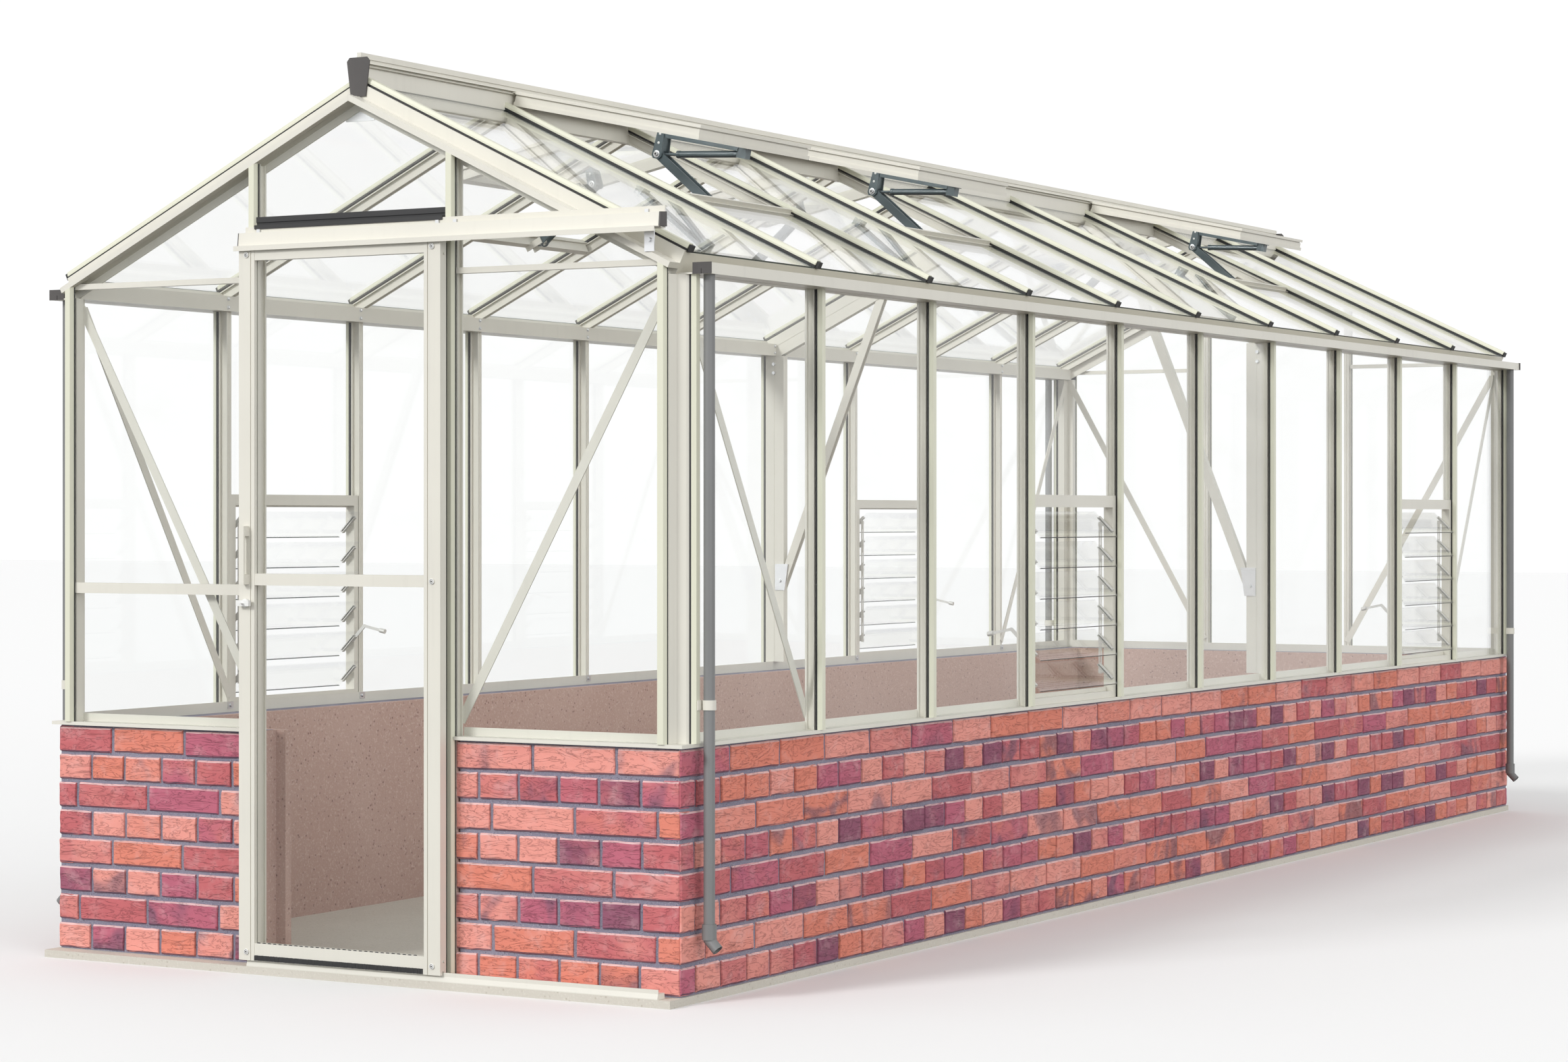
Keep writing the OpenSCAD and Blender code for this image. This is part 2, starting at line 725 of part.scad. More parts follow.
// Rain pipe with a mitred shoe that throws the water clear of the wall
module downpipe() {
    z = slab_t + pipe_foot;
    turn = 45;
    big = 4 * pipe_d;
    translate([pipe_x, pipe_y, z]) {
        difference() {
            translate([0, 0, -pipe_d]) tube(eave_under - z + pipe_d);
            rotate([0, -turn / 2, 0]) translate([-big, -big, -2 * big]) cube(2 * big);
        }
        translate(joint_gap * [sin(turn), 0, -cos(turn)]) difference() {
            rotate([0, 180 - turn, 0]) translate([0, 0, -pipe_d]) tube(shoe_len + pipe_d);
            rotate([0, -turn / 2, 0]) translate([-big, -big, 0]) cube(2 * big);
        }
        difference() {
            cylinder(h = collar_h, d = pipe_d + 2 * collar_t);
            translate([0, 0, -1]) cylinder(h = collar_h + 2, d = pipe_d + 2 * joint_gap);
        }
    }
}
module tube(len) {
    difference() {
        cylinder(h = len, d = pipe_d);
        translate([0, 0, -1]) cylinder(h = len + 2, d = pipe_d - 2 * pipe_wall);
    }
}
module downpipes() {
    color("gray") sides() gables() downpipe();
}

module pipe_clips() {
    z = slab_t + clip_z;
    color("ivory") sides() gables() difference() {
        union() {
            translate([pipe_x, pipe_y, z]) cylinder(h = clip_h, r = pipe_d / 2 + strap_t);
            block(gx + cap_top, gx + cap_top + strap_t, pipe_y, gy - post_gable + strap_lap, z, z + clip_h);
        }
        translate([pipe_x, pipe_y, z - 1]) cylinder(h = clip_h + 2, r = pipe_d / 2 + 0.2);
    }
}

// Section of the ridge: hollow body, fin and a hook on each side for the vents
module ridge_2d() {
    difference() {
        union() {
            translate([-ridge_hw, ridge_bottom]) square([2 * ridge_hw, ridge_top - ridge_bottom]);
            translate([-fin_w / 4, ridge_top]) square([fin_w / 2, fin_h / 3]);
            translate([-fin_w / 2, ridge_top + fin_h / 3]) square([fin_w, fin_h * 2 / 3]);
            for (k = [-1, 1]) translate([k * hinge_x, hinge_z]) circle(r = bead_r + 2.5);
        }
        translate([-ridge_hw + 3, ridge_bottom + 3])
            square([2 * ridge_hw - 6, hinge_up + ridge_under - bead_r - 8]);
        for (k = [0, 1]) mirror([k, 0]) translate([hinge_x, hinge_z]) {
            circle(r = bead_r + pin_clear);
            polygon([[0, 0], 12 * [cos(50), -sin(50)], 12 * [cos(28), sin(28)]]);
        }
    }
}
module ridge_beam() {
    color("ivory") run_y(-gy + rafter_in, gy - rafter_in) ridge_2d();
}

function roof_bar_y(i) = i == 0 ? -gy + end_bar_in : i == side_bays ? gy - end_bar_in : bar_y(i);
// Profile run down the right slope at bar i, from the ridge to s
module roof_run(i, s) {
    difference() {
        slope() translate([0, roof_bar_y(i), 0]) run_x(s) children();
        ridge_block();
        past_middle();
    }
}
module roof_bars() {
    color("ivory") sides() for (i = [0:side_bays]) if (i != portal_bar)
        roof_run(i, s_end - eave_wall) bar_2d(bar_depth);
}
module roof_bar_caps() {
    color("beige") sides() for (i = [0:side_bays]) roof_run(i, s_end) cap_2d();
}

// Pane of the right slope in bay i, from s1 down to the eave
module roof_pane(i, s1) {
    slope() block(s1, s_end, roof_bar_y(i - 1) + edge, roof_bar_y(i) - edge, -glass_t, 0);
}
module roof_glass() {
    low = sill_s + sill_len;
    color("lightcyan", 0.3) for (i = [1:side_bays]) {
        roof_pane(i, len(search(i, vents_right)) > 0 ? low : s_ridge);
        mirror([1, 0, 0]) roof_pane(i, len(search(i, vents_left)) > 0 ? low : s_ridge);
    }
}

module portal_rafter() {
    difference() {
        slope() translate([0, bar_y(portal_bar), 0]) run_x(s_end - eave_wall) portal_2d(portal_deep);
        ridge_block();
        past_middle();
        run_y(-gy, gy) eave_outline();
        block(0, reach, -reach, reach, 0, eave_under);
    }
}
// Channel that stiffens the corner between the post and the rafter
module knee_brace() {
    post_x = gx - glass_t - portal_deep;
    top_z = roof_z(knee_x) - plumb(glass_t + portal_deep);
    rise = atan2(top_z - slab_t - knee_z, post_x - knee_x);
    len = norm([top_z - slab_t - knee_z, post_x - knee_x]);
    spare = 40;
    intersection() {
        translate([post_x, bar_y(portal_bar), slab_t + knee_z]) rotate([0, rise - 180, 0])
            translate([-spare, 0, -knee_deep / 2]) run_x(len + 2 * spare) difference() {
                translate([-knee_w / 2, 0]) square([knee_w, knee_deep]);
                translate([-knee_w / 2 + 3, 3]) square([knee_w - 6, knee_deep]);
            }
        run_y(-gy, gy) translate([-joint_gap, -joint_gap]) polygon([[0, 0], [post_x, 0],
            [post_x, roof_z(post_x) - plumb(glass_t + portal_deep)],
            [0, z_peak - plumb(glass_t + portal_deep)]]);
    }
}
module portal_frame() {
    color("ivory") sides() {
        up_side(bar_y(portal_bar), cill_top + upstand_h, eave_under - joint_gap) portal_2d(portal_deep);
        up_side(bar_y(portal_bar), cill_top, cill_top + upstand_h - joint_gap)
            portal_2d(bar_depth);
        portal_rafter();
        knee_brace();
    }
}
// Flat strip from a to b, both [across, z], in the plane of a wall
module flat_strip(a, b) {
    d = b - a;
    translate([a[0], 0, a[1]]) rotate([0, -atan2(d[1], d[0]), 0])
        translate([0, 0, -brace_w / 2]) cube([norm(d), brace_t, brace_w]);
}
module corner_braces() {
    foot = cill_top + upstand_h + brace_w / 2 + 2;
    top = eave_under - brace_w;
    side_near = gy - post_gable - 3;
    side_far = bar_y(side_bays - 1) - 1;
    color("ivory") {
        // In the first and last bay of each side
        sides() gables() translate([gx - bar_in, 0, 0]) rotate([0, 0, 90])
            flat_strip([side_far, foot], [side_near - 6, top]);
        // In the outer panels of both gables
        sides() gables() translate([0, gy - bar_in - brace_t, 0])
            flat_strip([door_bar_x + 3, foot], [corner_bar_x - 5, top]);
    }
}

// Frame of one louvre window, made of two stiles, a transom and a bottom rail
module louvre_frame(bay) {
    z1 = cill_top;
    z2 = slab_t + transom_z + transom_h;
    deep = 30;
    flange = bar_w / 2 + frame_clear;
    half = bay_w / 2;
    translate([gx, bay_y(bay), 0]) {
        for (k = [0, 1]) mirror([0, k, 0]) difference() {
            translate([0, 0, z1]) linear_extrude(z2 - z1) polygon([[0, half - edge],
                [0, half - frame_in], [-deep, half - frame_in], [-deep, half - flange],
                [-glass_t, half - flange], [-glass_t, half - edge]]);
            for (n = [1:louvre_count]) pin_y(-louvre_set, blade_z(n), blade_pin_r + pin_clear,
                half - frame_in - 1, half - frame_in + 5);
        }
        inner = half - frame_in - joint_gap;
        block(-deep, 0, -inner, inner, slab_t + transom_z, z2);
        block(-10, 0, -inner, inner, slab_t + transom_z - 5, slab_t + transom_z);
        block(-deep, 0, -inner, inner, z1, z1 + 19);
        block(-deep, -deep + 8, -inner, inner, z1 + 19, z1 + 31);
    }
}
module louvre_frames() {
    color("ivory") {
        for (b = louvres_right) louvre_frame(b);
        mirror([1, 0, 0]) for (b = louvres_left) louvre_frame(b);
    }
}

// Sill under the low end of a vent, with the foot bracket of the opener arm
module vent_sill(bay) {
    y = bay_y(bay);
    body_s = sill_s + 7;
    low = sill_s + sill_len;
    wide = bay_w / 2 - bar_w / 2 - frame_clear;
    ear = arm_out + 2;
    ear_t = 4;
    translate([0, y, 0]) slope() {
        block(sill_s, low, -bay_w / 2 + edge, bay_w / 2 - edge, -glass_t, 0);
        block(body_s, low, -wide, wide, -bar_in + 2, -glass_t);
        block(body_s, body_s + 10, -wide, wide, 0, vent_lift - 0.5);
        for (k = [0, 1]) mirror([0, k, 0]) {
            block(foot_along - 10, low, ear, ear + ear_t, -foot_down - 9, -bar_in + 2);
            block(foot_along - 10, body_s, ear, ear + ear_t, -bar_in + 2, -bar_in + 8);
        }
        translate([foot_along, ear + ear_t, -foot_down]) rotate([90, 0, 0])
            cylinder(h = 2 * (ear + ear_t), r = bolt_r);
    }
}
module vent_sills() {
    color("ivory") {
        for (b = vents_right) vent_sill(b);
        mirror([1, 0, 0]) for (b = vents_left) vent_sill(b);
    }
}

// Vent frame with its hinge bead, in its own frame: x down the vent, z out of it
module vent_frame() {
    top = vent_t - vent_under;
    groove_low = 11 - vent_under;
    bead_len = vent_w - 8;
    difference() {
        block(vent_start, vent_len, -vent_w / 2, vent_w / 2, -vent_under, top);
        block(vent_start + vent_rail, vent_len - vent_rail, -vent_w / 2 + vent_rail,
            vent_w / 2 - vent_rail, -vent_under - 1, top + 1);
        block(vent_start + vent_rail - 8, vent_len - vent_rail + 8, -vent_w / 2 + vent_rail - 8,
            vent_w / 2 - vent_rail + 8, top - 10, top + 1);
        // Channel round the outside of the rails, with a slit under its upper lip
        rail_groove(groove_low, top - 9, 4);
        rail_groove(top - 13, top - 9, 7);
    }
    pin_y(0, 0, bead_r, -bead_len / 2, bead_len / 2);
    block(0, vent_start, -bead_len / 2, bead_len / 2, -1.25, 1.25);
}
module rail_groove(z1, z2, deep) {
    for (k = [0, 1]) mirror([0, k, 0])
        block(vent_start - 1, vent_len + 1, vent_w / 2 - deep, vent_w / 2 + 1, z1, z2);
    block(vent_len - deep, vent_len + 1, -vent_w / 2, vent_w / 2, z1, z2);
}
module vent_pane() {
    top = vent_t - vent_under - 10 + joint_gap;
    bite = 8 - joint_gap;
    block(vent_start + vent_rail - bite, vent_len - vent_rail + bite, -vent_w / 2 + vent_rail
        - bite, vent_w / 2 - vent_rail + bite, top, top + glass_t);
}
// Opener carried under the vent: channel, ears, pivot bolt, cylinder and end block
module vent_opener() {
    u = -vent_under - joint_gap;
    start = pivot_along - 10;
    head = vent_len - vent_rail + 4;
    head_t = 6.5;
    ear_end = pivot_along + 12;
    ear_foot = -pivot_down - 13;
    rod_len = 56;
    foot = [pivot_along, -pivot_down];
    d = [head, u - 5 - cylinder_r] - foot;
    block(start, head + 12, -16, 16, u - 2, u);
    for (k = [0, 1]) mirror([0, k, 0]) {
        block(start, head - 20, 14, 16, u - 11, u - 2);
        run_y(ear_in, ear_out) polygon([[start, u], [ear_end, u], [ear_end + 4, ear_foot + 9],
            [ear_end - 4, ear_foot], [start, ear_foot], [start - 5, ear_foot + 9]]);
        block(start, ear_end, 14, ear_out, u - 2, u);
    }
    pin_y(pivot_along, -pivot_down, bolt_r, -ear_out - 5, ear_out + 5);
    // Piston rod, collar and wax cylinder
    translate([foot[0], 0, foot[1]]) rotate([0, 90 - atan2(d[1], d[0]), 0]) {
        cylinder(h = norm(d), r = 4);
        translate([0, 0, rod_len]) cylinder(h = norm(d) - rod_len, r = cylinder_r);
        translate([0, 0, rod_len]) cylinder(h = 9, r = cylinder_r + 1);
    }
    block(head - 22, head + head_t, -13, 13, u - 28, u - 2);
}
module vent(side, bay) {
    on_side(side) translate([hinge_x, bay_y(bay), hinge_z]) rotate([0, vent_slope, 0]) {
        color("ivory") vent_frame();
        color("lightcyan", 0.3) vent_pane();
        color("darkslategray") vent_opener();
    }
}
// Arm of the opener from the pivot bolt to the foot pin; its foot hole is wide, as the open pivot
module vent_arm(side, bay) {
    hole = bolt_r + foot_play;
    color("darkslategray") on_side(side) translate([pivot_x, bay_y(bay), pivot_z])
        rotate([0, arm_angle, 0]) difference() {
            union() {
                for (k = [0, 1]) mirror([0, k, 0]) {
                    block(0, arm_len, arm_in, arm_out, -arm_deep / 2, arm_deep / 2);
                    pin_y(0, 0, arm_deep / 2 + 1, arm_in, arm_out);
                    pin_y(arm_len, 0, hole + 4, arm_in, arm_out);
                }
                block(arm_len * 0.8 - 8, arm_len * 0.8 + 8, -arm_in, arm_in, -arm_deep / 3, arm_deep / 3);
            }
            pin_y(0, 0, bolt_r + pin_clear, -ear_out, ear_out);
            pin_y(arm_len, 0, hole, -ear_out, ear_out);
        }
}

// One blade of a louvre window about its pivot, with y measured from the middle of the bay
module louvre_blade(crank_side) {
    half = bay_w / 2 - clip_start;
    rotate([0, blade_tilt, 0]) {
        color("lightcyan", 0.4) block(-blade_w / 2, blade_w / 2, -half + 2, half - 2,
            -glass_t / 2, glass_t / 2);
        color("lightgray") for (k = [0, 1]) mirror([0, k, 0]) {
            difference() {
                block(-clip_len / 2, clip_len / 2, half - clip_w, half, -clip_t / 2, clip_t / 2);
                block(-blade_w, blade_w, half - clip_w - 1, half - 2 + joint_gap,
                    -glass_t / 2 - joint_gap, glass_t / 2 + joint_gap);
            }
            pin_y(0, 0, blade_pin_r, half, bay_w / 2 - frame_in + 4);
        }
    }
    // Crank that carries the operating bar
    color("lightgray") mirror([0, crank_side > 0 ? 0 : 1, 0])
        block(-crank_r - 5, 0, half, half + crank_t, -5, 5);
}
function louvre_bays(side) = side > 0 ? louvres_right : louvres_left;
module blade_row(side, k) {
    on_side(side) for (b = louvre_bays(side))
        translate([louvre_x, bay_y(b), blade_z(k)]) louvre_blade(side);
}
// Operating bars of one side, hung beside the cranks
module louvre_rod(side) {
    y = bay_w / 2 - clip_start + crank_t + frame_clear;
    z1 = blade_z(louvre_count) - 8;
    z2 = blade_z(1) + 8;
    color("gainsboro") on_side(side) for (b = louvre_bays(side))
        translate([louvre_x - crank_r, bay_y(b), 0]) mirror([0, side > 0 ? 0 : 1, 0]) difference() {
            block(-5, 5, y, y + rod_t, z1, z2);
            for (k = [1:louvre_count - 1])
                block(-1.5, 1.5, y - 1, y + rod_t + 1, blade_z(k) - 65, blade_z(k) - 25);
        }
}
// Lever on the fifth blade, at the other jamb from the cranks
module louvre_lever(side) {
    strap = 4;
    elbow = [-54, 53];
    grip = [-112, 41];
    y = -(bay_w / 2 - clip_start) - strap;
    d = grip - elbow;
    fall = atan2(-d[1], -d[0]);
    on_side(side) for (b = louvre_bays(side))
        translate([louvre_x, bay_y(b), blade_z(louvre_count - 1)]) mirror([0, side > 0 ? 0 : 1, 0]) {
            color("lightgray") difference() {
                union() {
                    rotate([0, 45, 0]) block(-norm(elbow), 0, y, y + strap, -5, 5);
                    pin_y(0, 0, 6, y, y + strap);
                    pin_y(elbow[0], elbow[1], 5, y, y + strap);
                    translate([elbow[0], 0, elbow[1]]) rotate([0, -fall, 0])
                        block(-norm(d), 0, y, y + strap, -4, 4);
                }
                pin_y(0, 0, blade_pin_r, y - 1, y + strap + 1);
            }
            color("white") translate([grip[0], y + strap / 2, grip[1]])
                rotate([0, -fall - 90, 0]) cylinder(h = 18, r = 7);
        }
}

// Hood section of the door track, in the plane across it
module track_2d() {
    back = cap_y - track_t;
    front = cap_y - hood_out;
    brow = cap_y - brow_out;
    chin = cap_y - chin_out;
    rail = cap_y - rail_out;
    t = track_t - 1;
    top = hood_top + 17;
    polygon([[cap_y, rail_under], [cap_y, top], [back, top], [back, hood_top],
        [brow, hood_top], [chin, hood_chin], [front, hood_chin - 1], [front, hood_low],
        [front + t, hood_low], [front + t, hood_chin - 1 - t], [chin + t, hood_chin - t],
        [brow + t, hood_top - t], [back, hood_top - t], [back, rail_under + track_t],
        [rail + 3, rail_under + track_t], [rail + 3, rail_lip_top], [rail, rail_lip_top],
        [rail, rail_under]]);
}
module door_track() {
    color("ivory") translate([-track_left, 0, 0]) run_x(track_left + track_right) track_2d();
}

// Threshold with the rib that guides the foot of the door
module door_threshold() {
    nose = -hl - slab_nose;
    rib_top = threshold_h + 10;
    rib = 1.5;
    color("ivory") translate([-door_bar_x + cap_w / 2, 0, slab_t])
        run_x(door_bar_x - cap_w / 2 + track_right - 2) polygon([[nose, 0], [nose, 2],
            [nose + 3, threshold_h], [door_mid_y - rib, threshold_h], [door_mid_y - rib, rib_top],
            [door_mid_y + rib, rib_top], [door_mid_y + rib, threshold_h], [nose + 32, threshold_h],
            [nose + 34, 0]]);
}

module square_bolt(x, y, z) { block(x - 5, x + 5, y - 5, y, z - 5, z + 5); }
// Bolts, cleats, gusset plates and the lock keep
module frame_fittings() {
    plate_t = 4;
    hanger_x = corner_bar_x - 29;
    track_bolts = [10 - stile_x, stile_x - 10, door_bar_x + 25, corner_bar_x - 34];
    web_back = gy - rafter_in - rafter_t;
    cleat_y = bar_w / 2;
    color("silver") {
        for (x = track_bolts) square_bolt(x, cap_y - track_t, track_bolt_z);
        // Plate that hangs from the right end of the track over the rafter
        block(hanger_x - 14, hanger_x + 14, cap_y - 3, cap_y, hood_low - 44, rail_under);
        pin_y(hanger_x, hood_low - 16, 5.5, cap_y - 8, cap_y - 3);
        // Gusset plate and bolts under each apex
        gables() {
            run_y(web_back - plate_t, web_back) polygon([[-45, z_peak - 100], [45, z_peak - 100],
                [45, roof_z(45) - 45], [ridge_hw, ridge_bottom - 8], [-ridge_hw, ridge_bottom - 8],
                [-45, roof_z(45) - 45]]);
            for (x = [-28, 0, 28]) pin_y(x, z_peak - 88 + (x == 0 ? 14 : 0), 5,
                web_back - plate_t - 5, web_back - plate_t);
        }
        // Cleat and bolt at the foot of every side bar
        sides() for (i = [1:side_bays - 1]) if (i != portal_bar) {
            x = gx - bar_in - upstand_t;
            block(x - 3, x, bar_y(i) - 12, bar_y(i) + 12, cill_top + 1, cill_top + upstand_h);
            translate([x - 7, bar_y(i), cill_top + upstand_h / 2]) rotate([0, 90, 0])
                cylinder(h = 4, r = 4.5);
        }
        // Plates and bolts that fix the knee braces to the portal rafters and posts
        sides() {
            y = bar_y(portal_bar) - portal_w / 2;
            post_x = gx - glass_t - portal_deep;
            run_y(y - plate_t, y) polygon([[post_x - 6, slab_t + knee_z - 45],
                [post_x + 34, slab_t + knee_z - 45], [post_x + 34, slab_t + knee_z + 50],
                [post_x - 20, slab_t + knee_z + 50]]);
            pin_y(post_x + 14, slab_t + knee_z - 10, 6, y - plate_t - 6, y - plate_t);
            pin_y(post_x + 40, eave_under - 30, 6, y - 6, y);
            pin_y(post_x + 40, eave_under - 62, 6, y - 6, y);
            slope() {
                s = knee_x / cos(roof_pitch) - 2 * knee_w - 2;
                low = -glass_t - portal_deep;
                block(s - 60, s + 70, y - plate_t, y, low + 6, low + 36);
                for (k = [-42, 12]) pin_y(s + k, low + 20, 6, y - plate_t - 6, y - plate_t);
            }
        }
    }
    // Keep for the lock, on the cap of the left door mullion
    color("silver") block(-door_hw - 13, -door_hw - 0.5, door_back - 8, cap_y,
        slab_t + lock_z - 52, slab_t + lock_z + 18);
}

// Groove for the edges of the door panes
module pane_space(z1, z2) {
    y = door_mid_y;
    inner = door_hw - stile_w + door_bite;
    block(-inner, inner, y - glass_t / 2, y + glass_t / 2, z1 - door_bite, z2 + door_bite);
}
module both_pane_spaces() {
    pane_space(slab_t + door_z + bottom_rail_h, slab_t + door_mid_z);
    pane_space(slab_t + door_mid_z + door_mid_h, slab_t + door_top - top_rail_h);
}
module door_frame() {
    z1 = slab_t + door_z;
    z2 = slab_t + door_top;
    inner = door_hw - stile_w;
    color("ivory") {
        difference() {
            union() {
                sides() difference() {
                    block(inner, door_hw, door_front, door_back, z1, z2);
                    block(inner + 10, inner + 13, door_front - 1, door_front + 2, z1 - 1, z2 + 1);
                }
                rail(z1, z1 + bottom_rail_h);
                rail(slab_t + door_mid_z, slab_t + door_mid_z + door_mid_h);
                rail(z2 - top_rail_h, z2);
            }
            both_pane_spaces();
            // Slot that runs over the guide rib of the threshold
            block(-reach, reach, door_mid_y - 3, door_mid_y + 3, 0, slab_t + threshold_h + 12);
        }
    }
    // Hanger plates and axles of the two rollers
    color("silver") for (k = [-1, 1]) {
        plate = roller_y - roller_w / 2 - 1;
        block(k * roller_x - 18, k * roller_x + 18, plate - 2, plate, z2, roller_z + 6);
        pin_y(k * roller_x, roller_z, roller_r / 3, plate, roller_y + roller_w / 2);
    }
    // Screws at the ends of the stiles and bolts on the right edge
    color("white") for (k = [-1, 1]) {
        ends = [z1 + 22, z2 - 16];
        for (z = k > 0 ? concat(ends, slab_t + door_mid_z + door_mid_h / 2) : ends)
            pin_y(k * stile_x, z, 6.5, door_front - 2, door_front);
        translate([door_hw, door_mid_y + 3, k > 0 ? z2 - 34 : z1 + 34]) rotate([0, 90, 0])
            cylinder(h = 3, r = 3.5);
    }
}
module rail(za, zb) {
    end = door_hw - stile_w - joint_gap;
    block(-end, end, door_front + 1, door_back - 1, za, zb);
}
module door_panes() { color("lightcyan", 0.3) both_pane_spaces(); }

module door_handle() {
    z1 = slab_t + handle_z;
    z2 = z1 + handle_span;
    w = 16;
    color("silver") difference() {
        block(-stile_x - w / 2, -stile_x + w / 2, door_front - handle_out, door_front, z1 - 12, z2 + 12);
        block(-stile_x - w, -stile_x + w, door_front - handle_out + 5, door_front - 4,
            z1 + 14, z2 - 14);
        block(-stile_x - w, -stile_x + w, door_front - 4.1, door_front + 1, z1 + 14, z2 - 14);
    }
}
// Lock boss on the left stile with a T-shaped turn and a key
module door_lock() {
    x = -stile_x;
    z = slab_t + lock_z;
    color("white") {
        pin_y(x, z, lock_r, door_front - 8, door_front);
        block(x - 19.5, x + 19.5, door_front - 18, door_front - 8, z - 7.5, z + 7.5);
    }
    color("silver") block(x - 4, x + 4, door_front - 30, door_front - 18, z - 1, z + 1);
}
module door_roller(k) {
    color("dimgray") difference() {
        pin_y(k * roller_x, roller_z, roller_r, roller_y - roller_w / 2, roller_y + roller_w / 2);
        pin_y(k * roller_x, roller_z, roller_r / 3 + pin_clear / 2, roller_y - roller_w,
            roller_y + roller_w);
    }
}

foundation_slab();
brick_wall();
inner_wall();
wall_cill();
corner_posts();
wall_bars();
wall_bar_caps();
rubber_seals();
wall_glass();
gable_frames();
eave_beams();
gutters();
end_caps();
downpipes();
pipe_clips();
ridge_beam();
roof_bars();
roof_bar_caps();
roof_glass();
portal_frame();
corner_braces();
louvre_frames();
vent_sills();
door_track();
door_threshold();
frame_fittings();
door_frame();
door_panes();
door_handle();
door_lock();
door_roller(-1);  // door_roller_left
door_roller(1);  // door_roller_right
vent(1, vents_right[0]);  // vent_right_front
vent(1, vents_right[1]);  // vent_right_mid
vent(1, vents_right[2]);  // vent_right_rear
vent(-1, vents_left[0]);  // vent_left_front
vent(-1, vents_left[1]);  // vent_left_mid
vent(-1, vents_left[2]);  // vent_left_rear
vent_arm(1, vents_right[0]);  // vent_arm_right_front
vent_arm(1, vents_right[1]);  // vent_arm_right_mid
vent_arm(1, vents_right[2]);  // vent_arm_right_rear
vent_arm(-1, vents_left[0]);  // vent_arm_left_front
vent_arm(-1, vents_left[1]);  // vent_arm_left_mid
vent_arm(-1, vents_left[2]);  // vent_arm_left_rear
blade_row(1, 1);  // louvre_blade_right_1
blade_row(1, 2);  // louvre_blade_right_2
blade_row(1, 3);  // louvre_blade_right_3
blade_row(1, 4);  // louvre_blade_right_4
blade_row(1, 5);  // louvre_blade_right_5
blade_row(1, 6);  // louvre_blade_right_6
blade_row(-1, 1);  // louvre_blade_left_1
blade_row(-1, 2);  // louvre_blade_left_2
blade_row(-1, 3);  // louvre_blade_left_3
blade_row(-1, 4);  // louvre_blade_left_4
blade_row(-1, 5);  // louvre_blade_left_5
blade_row(-1, 6);  // louvre_blade_left_6
louvre_lever(1);  // louvre_lever_right
louvre_lever(-1);  // louvre_lever_left
louvre_rod(1);  // louvre_rod_right
louvre_rod(-1);  // louvre_rod_left
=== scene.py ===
import math

import bmesh
import bpy
from bpy.props import FloatProperty, FloatVectorProperty, IntProperty, PointerProperty
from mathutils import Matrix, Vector


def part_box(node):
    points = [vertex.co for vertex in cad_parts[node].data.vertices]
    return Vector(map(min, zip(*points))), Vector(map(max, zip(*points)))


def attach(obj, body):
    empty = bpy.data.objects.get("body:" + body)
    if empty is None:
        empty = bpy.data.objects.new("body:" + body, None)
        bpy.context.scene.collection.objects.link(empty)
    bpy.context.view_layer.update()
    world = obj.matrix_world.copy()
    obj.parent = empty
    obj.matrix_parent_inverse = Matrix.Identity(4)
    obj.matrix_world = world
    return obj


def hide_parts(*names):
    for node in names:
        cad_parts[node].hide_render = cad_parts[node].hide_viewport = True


bl_info = {
    "name": "Greenhouse looks",
    "version": (1, 0, 0),
    "blender": (4, 5, 0),
    "location": "View3D > Sidebar > Greenhouse",
    "description": "Bricks, coated metal, glass, seals and fittings of the greenhouse",
    "category": "Object",
}

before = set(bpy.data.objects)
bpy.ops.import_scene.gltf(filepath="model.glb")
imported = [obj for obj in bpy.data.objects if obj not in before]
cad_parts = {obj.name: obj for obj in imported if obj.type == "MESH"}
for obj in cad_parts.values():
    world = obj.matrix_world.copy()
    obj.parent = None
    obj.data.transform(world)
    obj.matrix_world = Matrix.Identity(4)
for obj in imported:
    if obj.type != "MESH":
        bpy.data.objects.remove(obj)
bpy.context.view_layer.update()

SIDES = (("right", 1), ("left", -1))
BLADES = range(1, 7)
VENTS = ("front", "mid", "rear")


def half_size():
    """Half width, half length, foot and head of the brick leaf, read from the model."""
    low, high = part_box("brick_wall")
    return high[0], high[1], low[2], high[2]


# ---- settings


def colour(name, description, default):
    return FloatVectorProperty(name=name, description=description, default=default, size=3,
                               min=0, max=1, subtype="COLOR")


def length(name, description, default, top=1.0):
    return FloatProperty(name=name, description=description, default=default, min=0, max=top,
                         unit="LENGTH", subtype="DISTANCE", precision=4)


